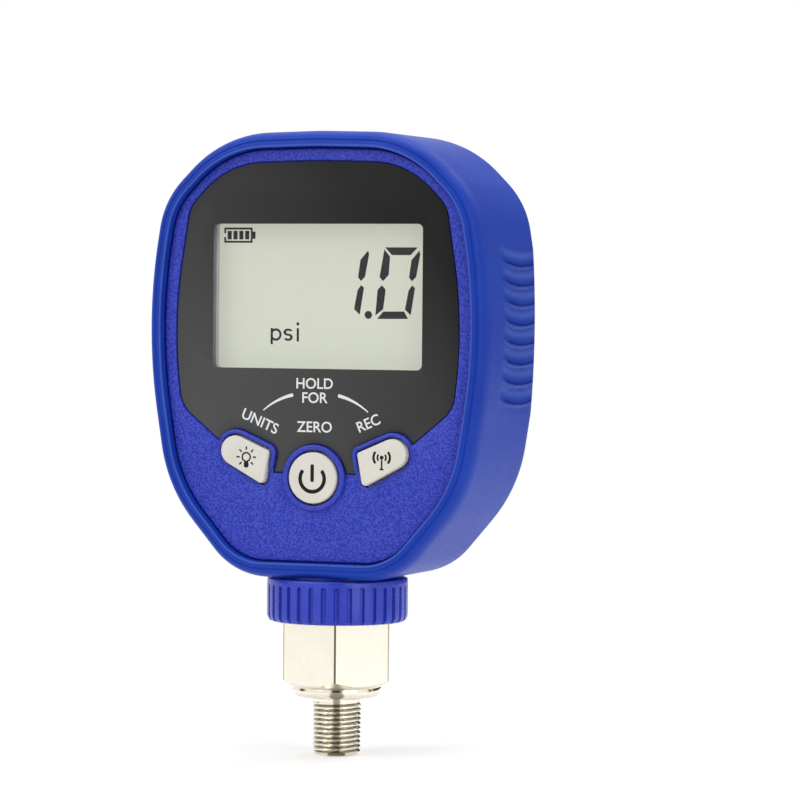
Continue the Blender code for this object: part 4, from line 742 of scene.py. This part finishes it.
def build_overlay():
    """The printed film, its words and its two tapering strokes."""
    form = carved(slab(mirrored(OVERLAY_RIGHT), OVERLAY_FRONT, OVERLAY_BACK), [
        slab(WINDOW, FAR_FRONT, 0.0),
        *[belt_block(circles, FAR_FRONT, 0.0, GAP + width + 0.2)[0] for _, circles, width, _ in KEYS],
    ])
    make_piece("overlay_film", form, "overlay_print", "graphic_overlay", soften_mm=0.05)
    words = [
        ("HOLD", -0.27, 75.92, 3.0, 0.98, 0.0), ("FOR", -0.25, 73.06, 3.0, 0.99, 0.0),
        ("ZERO", -0.15, 67.17, 3.05, 0.98, 0.0), ("UNITS", -12.15, 68.12, 3.05, 1.0, -23.2),
        ("REC", 11.5, 68.15, 3.05, 0.96, 23.2),
    ]
    make_piece("overlay_words", lettering(words, OVERLAY_FRONT - INK_THICKNESS / 2), "white_ink")
    ink("overlay_strokes", "white_ink", OVERLAY_FRONT, [
        arc((-1.69, 59.02), 15.0, 0.22, (130.4, 102.2), end_stroke=0.72, mirror=mirror)
        for mirror in (False, True)])


def build_display():
    """The clear pane and what the display shows: battery level, reading and unit."""
    show = bpy.context.scene.gauge_display
    form = slab(WINDOW, PANE_FRONT, FACE_INNER, 1.4)
    make_piece("window_pane", form, "window_acrylic", "window_lens", soften_mm=0.08)
    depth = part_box("lcd_glass")[0].y / MM
    shapes = []
    left, foot = LAST_DIGIT
    for mark in reversed(show.reading):
        if mark == ".":
            across = left + DIGIT_PITCH - 1.28 + DIGIT_SLANT * POINT_RADIUS
            shapes.append(disc((across, foot + POINT_RADIUS), POINT_RADIUS))
            continue
        for segment in LIT[mark]:
            form = bmesh.new()
            form.faces.new([form.verts.new(Vector((left + x + DIGIT_SLANT * z, 0.0, foot + z)) * MM)
                            for x, z in SEGMENTS[segment]])
            shapes.append(form)
        left -= DIGIT_PITCH
    ink("display_digits", "segment_dye", depth, shapes)
    left, right, low, high, line = -22.0, -15.7, 104.4, 107.5, 0.4
    middle = (low + high) / 2
    ink("display_battery", "segment_dye", depth, [
        *[bar(((left + right) / 2, z), right - left, line, 0.1) for z in (high - line / 2, low + line / 2)],
        bar((right - line / 2, middle), line, high - low - 2 * line, 0.02),
        *[bar((left + line / 2, middle + z), line, 0.8, 0.02) for z in (-0.78, 0.78)],
        bar((right + 0.32, middle), 0.64, 1.5, 0.1),
        *[bar((left + 1.2 + 1.3 * i, middle), 0.92, 1.75, 0.05) for i in range(show.battery_bars)],
    ])
    curl = bmesh.new()
    absorb(curl, arc((0.0, 0.52), 0.52, 0.42, (25.0, 270.0), steps=20, round_ends=False))
    absorb(curl, arc((0.0, -0.52), 0.52, 0.42, (90.0, -155.0), steps=20, round_ends=False))
    bmesh.ops.scale(curl, vec=(1.4, 1.0, 1.0), verts=curl.verts)
    bmesh.ops.translate(curl, vec=(-7.69 * MM, 0.0, 85.77 * MM), verts=curl.verts)
    ink("display_unit", "segment_dye", depth, [
        bar((-11.3, 85.45), 0.5, 3.3, 0.08),
        arc((-10.4, 85.77), 1.03, 0.48, (140.0, -140.0), steps=32, round_ends=False),
        curl,
        bar((-5.56, 85.75), 0.5, 2.7, 0.05),
        disc((-5.56, 87.98), 0.32),
    ])


def build_keys():
    """The three keys, each a crowned cap with its flange and plunger, and their printed symbols."""
    soft = bpy.context.scene.gauge_keys.edge_round / MM
    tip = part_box("power_key")[1].y / MM
    start, wall, edge = FACE_INNER + GAP, FLANGE + KEY_INSET, KEY_FRONT + soft
    for name, circles, _, plunger in KEYS:
        form, _, cap = belt_block(circles, start + 0.8, start, FLANGE, 6.0)
        walk(form, cap, (0.0, start), [
            (wall, start), (wall, edge), *quarter((wall, edge), soft, -soft, 6)])
        form = carved(form, [belt_block([(*plunger, 1.7)], start + 0.2, tip)[0]], "UNION")
        make_piece(name + "_cap", form, "key_abs", name + "_key", body=name + "_button", crease=40.0)
    ink("power_symbol", "key_ink", KEY_FRONT, [
        arc((0.02, 56.9), 2.62, 0.77, (40.0, -220.0), steps=48),
        bar((0.02, 58.03), 0.75, 3.6, 0.36),
    ], "power_button")
    x, z, reach = -14.45, 60.95, 1.8
    rays = [(turn, math.radians(90 - turn)) for turn in range(-135, 136, 45)]
    ink("light_symbol", "key_ink", KEY_FRONT, [
        arc((x, z), 0.88, 0.32, (265.0, -85.0), steps=36, round_ends=False),
        bar((x, z - 1.5), 1.05, 1.3, 0.45),
        *[bar((x + reach * math.cos(a), z + reach * math.sin(a)), 0.3, 0.76, 0.12, turn) for turn, a in rays],
    ], "light_button")
    x, z, half = 15.0, 61.5, 42
    waves = [(*wave, turn) for wave in ((0.92, 0.38), (1.76, 0.48)) for turn in (0, 180)]
    ink("wireless_symbol", "key_ink", KEY_FRONT, [
        disc((x, z), 0.4),
        bar((x, z - 1.33), 0.34, 1.76, 0.05),
        bar((x, z - 2.36), 0.85, 0.34, 0.12),
        *[arc((x, z), radius, stroke, (turn + half, turn - half), 12) for radius, stroke, turn in waves],
    ], "wireless_button")


def build_collar():
    """The fluted collar, hooded over the top of the hexagon."""
    sizes = bpy.context.scene.gauge_metal
    radius, top, bottom, flute_top, per_flute = 14.4, 36.2, 27.3, 34.9, 20
    hood = bottom + 2.7
    form = turned_form([
        (11.3, 38.2), (11.7, 38.2), (11.7, top), (radius - 0.35, top), (radius - 0.1, top - 0.1),
        (radius, top - 0.35), *[(radius, flute_top + 0.1 - 0.12 * i) for i in range(10)],
        (radius, 32.0), (radius, 30.0), (radius, bottom + 1.35), (radius - 0.12, bottom + 0.75),
        (radius - 0.4, bottom + 0.25), (radius - 0.9, bottom), (13.1, bottom), (13.1, hood), (11.9, hood),
        (11.9, 35.0), (11.3, 35.0),
    ], sizes.flute_count * per_flute)
    pitch = 2 * math.pi * radius / sizes.flute_count
    half = sizes.flute_width / MM / 2
    for vert in form.verts:
        reach = math.hypot(vert.co.x, vert.co.y)
        if reach < 13.3 * MM:
            continue
        turn = math.atan2(vert.co.y, vert.co.x) / (2 * math.pi) * sizes.flute_count
        side = abs((turn % 1.0) - 0.5) * pitch
        above = max(0.0, vert.co.z / MM - (flute_top - half))
        away = math.hypot(side, above) / half
        if away < 1:
            vert.co.xy *= 1 - sizes.flute_depth * (1 - away ** 4) ** 0.5 / reach
    make_piece("collar_grip", form, "collar_abs", "lock_collar", crease=50.0)


def build_stem():
    """The turned stem with its taper thread, and the chamfered hexagon round it."""
    sizes = bpy.context.scene.gauge_metal
    pitch, depth = sizes.thread_pitch / MM, sizes.thread_depth / MM
    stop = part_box("stem_fitting")[1].z / MM
    thread_top, thread_stop, chamfer, rows = 11.8, 10.9, 0.5, 150
    turns = [math.pi / 2 * i / 8 for i in range(9)]
    form = turned_form([
        (6.2, stop), (8.5, stop), (8.5, 44.0), (10.0, 44.0), (10.0, 41.4), (9.0, 41.4), (9.0, 14.1),
        (8.75, 14.1), (9.0, 14.0), (9.15, 13.75),
        *[(9.15 - 1.2 * (1 - math.cos(a)), 13.0 - 1.2 * math.sin(a)) for a in turns],
        *[(5.1 - 0.15 * i / rows, thread_top - (thread_top - chamfer) * i / rows) for i in range(rows + 1)],
        (4.45, 0.0), (1.6, 0.0), (1.6, 38.5), (6.2, 38.5),
    ])
    # Painted shade in the roots of the thread
    painted_light = form.verts.layers.float.new("painted_light")
    for vert in form.verts:
        reach, height = math.hypot(vert.co.x, vert.co.y) / MM, vert.co.z / MM
        if not (chamfer - 0.01 <= height <= thread_stop and 4.5 < reach < 5.2):
            continue
        phase = (height / pitch - math.atan2(vert.co.y, vert.co.x) / (2 * math.pi)) % 1.0
        flank = min(1.0, max(0.0, (abs(phase - 0.5) * 2 - 0.3) / 0.6))
        fade = min(1.0, (thread_stop - height) / 0.5, (height - chamfer + 0.25) / 0.3)
        vert[painted_light] = -0.8 * flank * fade
        vert.co.xy *= 1 - depth * flank * fade / reach
    make_piece("stem_body", form, "stem_stainless", "stem_fitting", crease=32.0)
    across, tall, foot = 21.5, 15.25, 14.1
    corner = across / math.sqrt(3.0) * MM
    form = bmesh.new()
    bmesh.ops.create_cone(form, cap_ends=True, segments=6, radius1=corner, radius2=corner, depth=tall * MM)
    upright = [e for e in form.edges if abs(e.verts[0].co.z - e.verts[1].co.z) > MM]
    bmesh.ops.bevel(form, geom=upright, offset=0.25 * MM, segments=1, profile=0.5, affect="EDGES",
                    material=-1)
    bmesh.ops.rotate(form, verts=form.verts, matrix=Matrix.Rotation(math.radians(20.0), 3, "Z"))
    bmesh.ops.translate(form, verts=form.verts, vec=(0.0, 0.0, (foot + 0.05 + tall / 2) * MM))
    slope = math.tan(math.radians(30.0))
    flat = across / 2 - 0.5 / slope
    envelope = turned_form([
        (0.0, 35.0), (15.0, 35.0), (15.0, foot + (15.0 - flat) * slope), (flat, foot), (0.0, foot)], 144)
    form = carved(carved(form, [envelope], "INTERSECT"), [cylinder(9.05, 10.0, 40.0)])
    hexagon = make_piece("stem_hexagon", form, "drawn_stainless", crease=28.0)
    hexagon.data.materials.append(MATERIALS["filed_stainless"])
    for face in hexagon.data.polygons:
        if abs(face.normal.z) < 0.01 and face.area < 1e-5 and face.center.xy.length > (across / 2 + 0.8) * MM:
            face.material_index = 1


def dress_inner_nodes():
    """Give every CAD node the procedural finish of its record slot."""
    slots = {row["node"]: row["material_slot"] for row in frame["record"]["subparts"]}
    for node, piece in frame["nodes"].items():
        piece.data.materials.clear()
        piece.data.materials.append(MATERIALS[slots[node]])


def emitter(name, place, size, power):
    """A soft box that faces the head."""
    lamp = bpy.data.lights.new(name, "AREA")
    lamp.shape = "RECTANGLE"
    lamp.size, lamp.size_y = size
    lamp.energy = power
    holder = new_object(name, lamp)
    holder.location = place
    holder.rotation_euler = (Vector((0.0, 0.0, 0.075)) - Vector(place)).to_track_quat("-Z", "Y").to_euler()


def card(name, form, colour="1C1B1A"):
    """Make a form a card of matt wool felt that only reflections see."""
    made = new_mesh(name, form)
    made.data.materials.append(plain("felt_" + name, {"Base Color": linear(colour), "Roughness": 1.0})[0])
    made.visible_camera = False
    made.visible_diffuse = False
    made.visible_shadow = False
    made.visible_transmission = False


def flag(name, bearing, distance, width, height):
    """A standing card at a bearing from the front."""
    form = bmesh.new()
    bmesh.ops.create_grid(form, x_segments=1, y_segments=1, size=0.5)
    bmesh.ops.scale(form, vec=(width, height, 1.0), verts=form.verts)
    bmesh.ops.rotate(form, verts=form.verts, matrix=Matrix.Rotation(math.radians(90.0), 3, "X"))
    bmesh.ops.translate(form, verts=form.verts, vec=(0.0, -distance, height / 2))
    bmesh.ops.rotate(form, verts=form.verts, matrix=Matrix.Rotation(math.radians(bearing), 3, "Z"))
    card(name, form)


def seen_rays(tree):
    """One where a camera, glossy or transmitted ray looks, and nought for the rest."""
    rays = add_node(tree, "LightPath").outputs
    seen = rays["Is Camera Ray"]
    for kind in ("Is Glossy Ray", "Is Transmission Ray"):
        seen = add_node(tree, "Math", {0: seen, 1: rays[kind]}, operation="MAXIMUM")
    return seen


def build_stage():
    """Pale floor, white surround, soft boxes, reflection flags and the camera."""
    stage = bpy.context.scene.gauge_stage
    scene = bpy.context.scene
    scene.view_settings.view_transform = "Standard"
    scene.world = bpy.data.worlds.new("studio")
    scene.world.use_nodes = True
    tree = scene.world.node_tree
    tree.nodes.clear()
    white = (1.0, 1.0, 1.0, 1.0)
    ambient = add_node(tree, "Background", {"Color": white, "Strength": stage.ambient})
    bright = add_node(tree, "Background", {"Color": white, "Strength": 1.0})
    chosen = add_node(tree, "MixShader", {0: seen_rays(tree), 1: ambient, 2: bright})
    add_node(tree, "OutputWorld", {"Surface": chosen})
    form = bmesh.new()
    bmesh.ops.create_circle(form, cap_ends=True, segments=96, radius=6.0)
    bmesh.ops.translate(form, verts=form.verts, vec=(0.0, 0.0, -0.0002))
    floor = new_mesh("floor", form)
    # Matt white paper, lifted by a glow so that only the shadow stays, and clear towards its rim
    paper, shader = plain("white_paper_sweep", {
        "Base Color": linear("F4F4F2"), "Roughness": 0.9, "Emission Color": white})
    tree = paper.node_tree
    feed(shader, {"Emission Strength": add_node(
        tree, "Math", {0: seen_rays(tree), 1: stage.floor_lift}, operation="MULTIPLY")})
    place = add_node(tree, "TexCoord").outputs["Object"]
    away = add_node(tree, "VectorMath", {0: place}, operation="LENGTH").outputs["Value"]
    fade = add_node(tree, "MapRange", {
        "Value": away, "From Min": stage.floor_reach * 0.3, "From Max": stage.floor_reach})
    clear = add_node(tree, "BsdfTransparent")
    blend = add_node(tree, "MixShader", {0: fade, 1: shader, 2: clear})
    feed(tree.nodes["Material Output"], {"Surface": blend})
    floor.data.materials.append(paper)
    level = stage.level
    emitter("key_box", (-0.55, -0.75, 0.75), (0.7, 0.7), 4.2 * level)
    emitter("fill_box", (0.85, -0.55, 0.35), (0.6, 0.8), 2.6 * level)
    emitter("top_box", (0.05, 0.1, 0.95), (0.8, 0.8), 3.4 * level)
    emitter("back_box", (0.3, 0.9, 0.5), (0.8, 0.8), 3.0 * level)
    flag("flag_camera", 22.0, 0.9, 0.44, 0.6)
    flag("flag_left", -78.0, 0.8, 0.26, 0.5)
    flag("flag_right", 118.0, 0.8, 0.16, 0.5)
    flag("flag_flank", 160.0, 0.9, 1.1, 0.8)
    yaw, roll = math.radians(22.0), math.radians(0.5)
    # A wedge on the floor, from under the thread towards the camera, for the thread to mirror
    ray = Matrix.Rotation(yaw, 3, "Z")
    aside, forth = 0.5 * math.sin(math.radians(15.0)), -0.5 * math.cos(math.radians(15.0))
    foot = bmesh.new()
    foot.faces.new([foot.verts.new(ray @ Vector((x, y, -0.0001)))
                    for x, y in ((0.0, 0.003), (-aside, forth), (aside, forth))])
    card("flag_foot", foot, "96928B")
    ahead = Vector((-math.sin(yaw), math.cos(yaw), 0.0))
    right = Vector((math.cos(yaw), math.sin(yaw), 0.0))
    up = Vector((0.0, 0.0, 1.0))
    # Focal length in pixels of an 800 pixel picture, and how far its middle is from the level sight line
    picture, focal, across, down = 800.0, 3665.0, 60.87, 99.47
    look = (ahead * focal + right * across - up * down).normalized()
    lean = up * math.cos(roll) - right * math.sin(roll)
    side = look.cross(lean).normalized()
    turn = Matrix((side, side.cross(look), -look)).transposed()
    scene.camera = new_object("camera", bpy.data.cameras.new("camera"))
    scene.camera.data.sensor_width = 36.0
    scene.camera.data.lens = focal / picture * 36.0
    scene.camera.data.clip_start = 0.05
    scene.camera.matrix_world = Matrix.Translation((0.28096, -0.69539, 0.0929)) @ turn.to_4x4()


def length(name, description, default):
    """A size in metres, shown in the scene's unit."""
    return FloatProperty(name=name, description=description, default=default, subtype="DISTANCE")


def number(name, description, default):
    """A plain number."""
    return FloatProperty(name=name, description=description, default=default)


def tone(name, description, default):
    """A colour as six sRGB hex digits."""
    return StringProperty(name=name, description=description, default=default)


class HeadSizes(bpy.types.PropertyGroup):
    """Sizes of the boot and case."""
    scoop_count: IntProperty(name="Scales", description="Finger scales on each flank", default=8)
    scoop_pitch: length("Scale pitch", "Height from one scale to the next", 0.004)
    scoop_depth: length("Scale relief", "How far a scale's lower edge stands out", 0.00055)
    scoop_rise: length("Scale bow", "How far a scale's lower edge bows down", 0.0019)
    scoop_low: number("Lowest scale", "Height of the lowest scale's edge in mm", 72.1)
    flank_flat: length("Flank flat", "How far the flank is flattened round the scales", 0.0008)
    case_edge: length("Case edges", "Width of the case's softened edges", 0.00012)


class KeySizes(bpy.types.PropertyGroup):
    """Sizes of the keys."""
    edge_round: length("Key edge", "Rounding round a key's top", 0.0004)


class DisplayShown(bpy.types.PropertyGroup):
    """What the display shows."""
    reading: StringProperty(name="Reading", description="Digits and point shown", default="1.0")
    battery_bars: IntProperty(
        name="Battery bars", description="Bars in the battery symbol", default=4, min=0, max=4)


class MetalSizes(bpy.types.PropertyGroup):
    """Sizes of the collar and stem."""
    thread_pitch: length("Thread pitch", "Pitch of the taper thread", 0.000941)
    thread_depth: length("Thread depth", "Crest to root", 0.00045)
    flute_count: IntProperty(name="Flutes", description="Flutes round the collar", default=34)
    flute_width: length("Flute width", "Width of a flute", 0.00105)
    flute_depth: length("Flute depth", "Depth of a flute", 0.00075)


class Finishes(bpy.types.PropertyGroup):
    """Colours as sRGB hex values."""
    boot: tone("Boot", "Rubber boot", "173CAE")
    boot_second: tone("Boot, second", "Boot's drift", "1D45B8")
    # Painted highlight on the scales' tops and the lip's bead, and painted shade under the scales
    boot_painted_highlight: tone("Boot, painted highlight", "Scales' tops", "5670C4")
    boot_painted_shade: tone("Boot, creases", "Under the scales", "0F2473")
    case: tone("Case", "Case plastic", "232FA6")
    # Painted glints: the light specks in the case's grain
    case_painted_glint: tone("Case, second", "Case's drift", "4252CC")
    collar: tone("Collar", "Collar plastic", "2538B8")
    collar_second: tone("Collar, second", "Collar's drift", "2D41C2")
    overlay: tone("Overlay", "Film at its top", "1B1B1A")
    overlay_second: tone("Overlay, second", "Film's drift", "1E1E1D")
    # Painted reflection on the film at its lower left
    overlay_painted_reflection: tone("Overlay, low", "Film at its lower left", "575757")
    keys: tone("Keys", "Key plastic", "E9E5DB")
    keys_second: tone("Keys, second", "Keys' drift", "E3DFD6")
    display: tone("Display", "Display at its top", "9D9F91")
    display_second: tone("Display, second", "Display's drift", "A1A396")
    # Painted light: the display's foot is paler than its shaded top, and a painted glow lifts it all
    display_painted_lit_foot: tone("Display, low", "Display at its foot", "A3A79A")
    display_painted_glow: tone("Display, glow", "Light of the display", "DCE0D0")


class StageLevels(bpy.types.PropertyGroup):
    """Light levels of the stage."""
    level: number("Lamps", "Share of the lamps' power", 1.0)
    ambient: number("Surround", "Light from the surround", 0.45)
    floor_lift: number("Floor lift", "White added to the floor", 0.25)
    floor_reach: length("Floor reach", "How far out the floor fades away", 0.3)


GROUPS = {
    "gauge_head": HeadSizes,
    "gauge_keys": KeySizes,
    "gauge_display": DisplayShown,
    "gauge_metal": MetalSizes,
    "gauge_finishes": Finishes,
    "gauge_stage": StageLevels,
}


class GAUGE_OT_finishes(bpy.types.Operator):
    """Make every finish and dress the CAD nodes"""
    bl_idname = "gauge.finishes"
    bl_label = "Finishes"

    def execute(self, context):
        make_materials()
        dress_inner_nodes()
        return {"FINISHED"}


class GAUGE_OT_boot(bpy.types.Operator):
    """Build the rubber boot"""
    bl_idname = "gauge.boot"
    bl_label = "Boot"

    def execute(self, context):
        build_boot()
        return {"FINISHED"}


class GAUGE_OT_case(bpy.types.Operator):
    """Build the case shells, key rims and battery cover"""
    bl_idname = "gauge.case"
    bl_label = "Case"

    def execute(self, context):
        build_case()
        return {"FINISHED"}


class GAUGE_OT_overlay(bpy.types.Operator):
    """Build the printed film and its print"""
    bl_idname = "gauge.overlay"
    bl_label = "Overlay"

    def execute(self, context):
        build_overlay()
        return {"FINISHED"}


class GAUGE_OT_display(bpy.types.Operator):
    """Build the window pane and the display's marks"""
    bl_idname = "gauge.display"
    bl_label = "Display"

    def execute(self, context):
        build_display()
        return {"FINISHED"}


class GAUGE_OT_keys(bpy.types.Operator):
    """Build the keys and their symbols"""
    bl_idname = "gauge.keys"
    bl_label = "Keys"

    def execute(self, context):
        build_keys()
        return {"FINISHED"}


class GAUGE_OT_collar(bpy.types.Operator):
    """Build the fluted collar"""
    bl_idname = "gauge.collar"
    bl_label = "Collar"

    def execute(self, context):
        build_collar()
        return {"FINISHED"}


class GAUGE_OT_stem(bpy.types.Operator):
    """Build the stem, its thread and its hexagon"""
    bl_idname = "gauge.stem"
    bl_label = "Stem"

    def execute(self, context):
        build_stem()
        return {"FINISHED"}


class GAUGE_OT_stage(bpy.types.Operator):
    """Set the floor, lamps and camera"""
    bl_idname = "gauge.stage"
    bl_label = "Stage"

    def execute(self, context):
        build_stage()
        return {"FINISHED"}


OPERATORS = [
    GAUGE_OT_finishes, GAUGE_OT_boot, GAUGE_OT_case, GAUGE_OT_overlay, GAUGE_OT_display,
    GAUGE_OT_keys, GAUGE_OT_collar, GAUGE_OT_stem, GAUGE_OT_stage,
]


class GAUGE_PT_panel(bpy.types.Panel):
    """Lists the gauge's pieces and sizes"""
    bl_idname = "GAUGE_PT_panel"
    bl_label = "Pressure gauge"
    bl_space_type = "VIEW_3D"
    bl_region_type = "UI"
    bl_category = "Gauge"

    def draw(self, context):
        for operator in OPERATORS:
            self.layout.operator(operator.bl_idname)
        for group in GROUPS:
            values = getattr(context.scene, group)
            for name in values.__annotations__:
                self.layout.prop(values, name)


CLASSES = [*GROUPS.values(), *OPERATORS, GAUGE_PT_panel]


def register():
    for kind in CLASSES:
        bpy.utils.register_class(kind)
    for name, group in GROUPS.items():
        setattr(bpy.types.Scene, name, PointerProperty(type=group))


def unregister():
    for name in GROUPS:
        delattr(bpy.types.Scene, name)
    for kind in reversed(CLASSES):
        bpy.utils.unregister_class(kind)


def main():
    """Build every piece and the stage."""
    register()
    bpy.ops.gauge.finishes()
    bpy.ops.gauge.boot()
    bpy.ops.gauge.case()
    bpy.ops.gauge.overlay()
    bpy.ops.gauge.display()
    bpy.ops.gauge.keys()
    bpy.ops.gauge.collar()
    bpy.ops.gauge.stem()
    bpy.ops.gauge.stage()


if __name__ == "__main__":
    main()
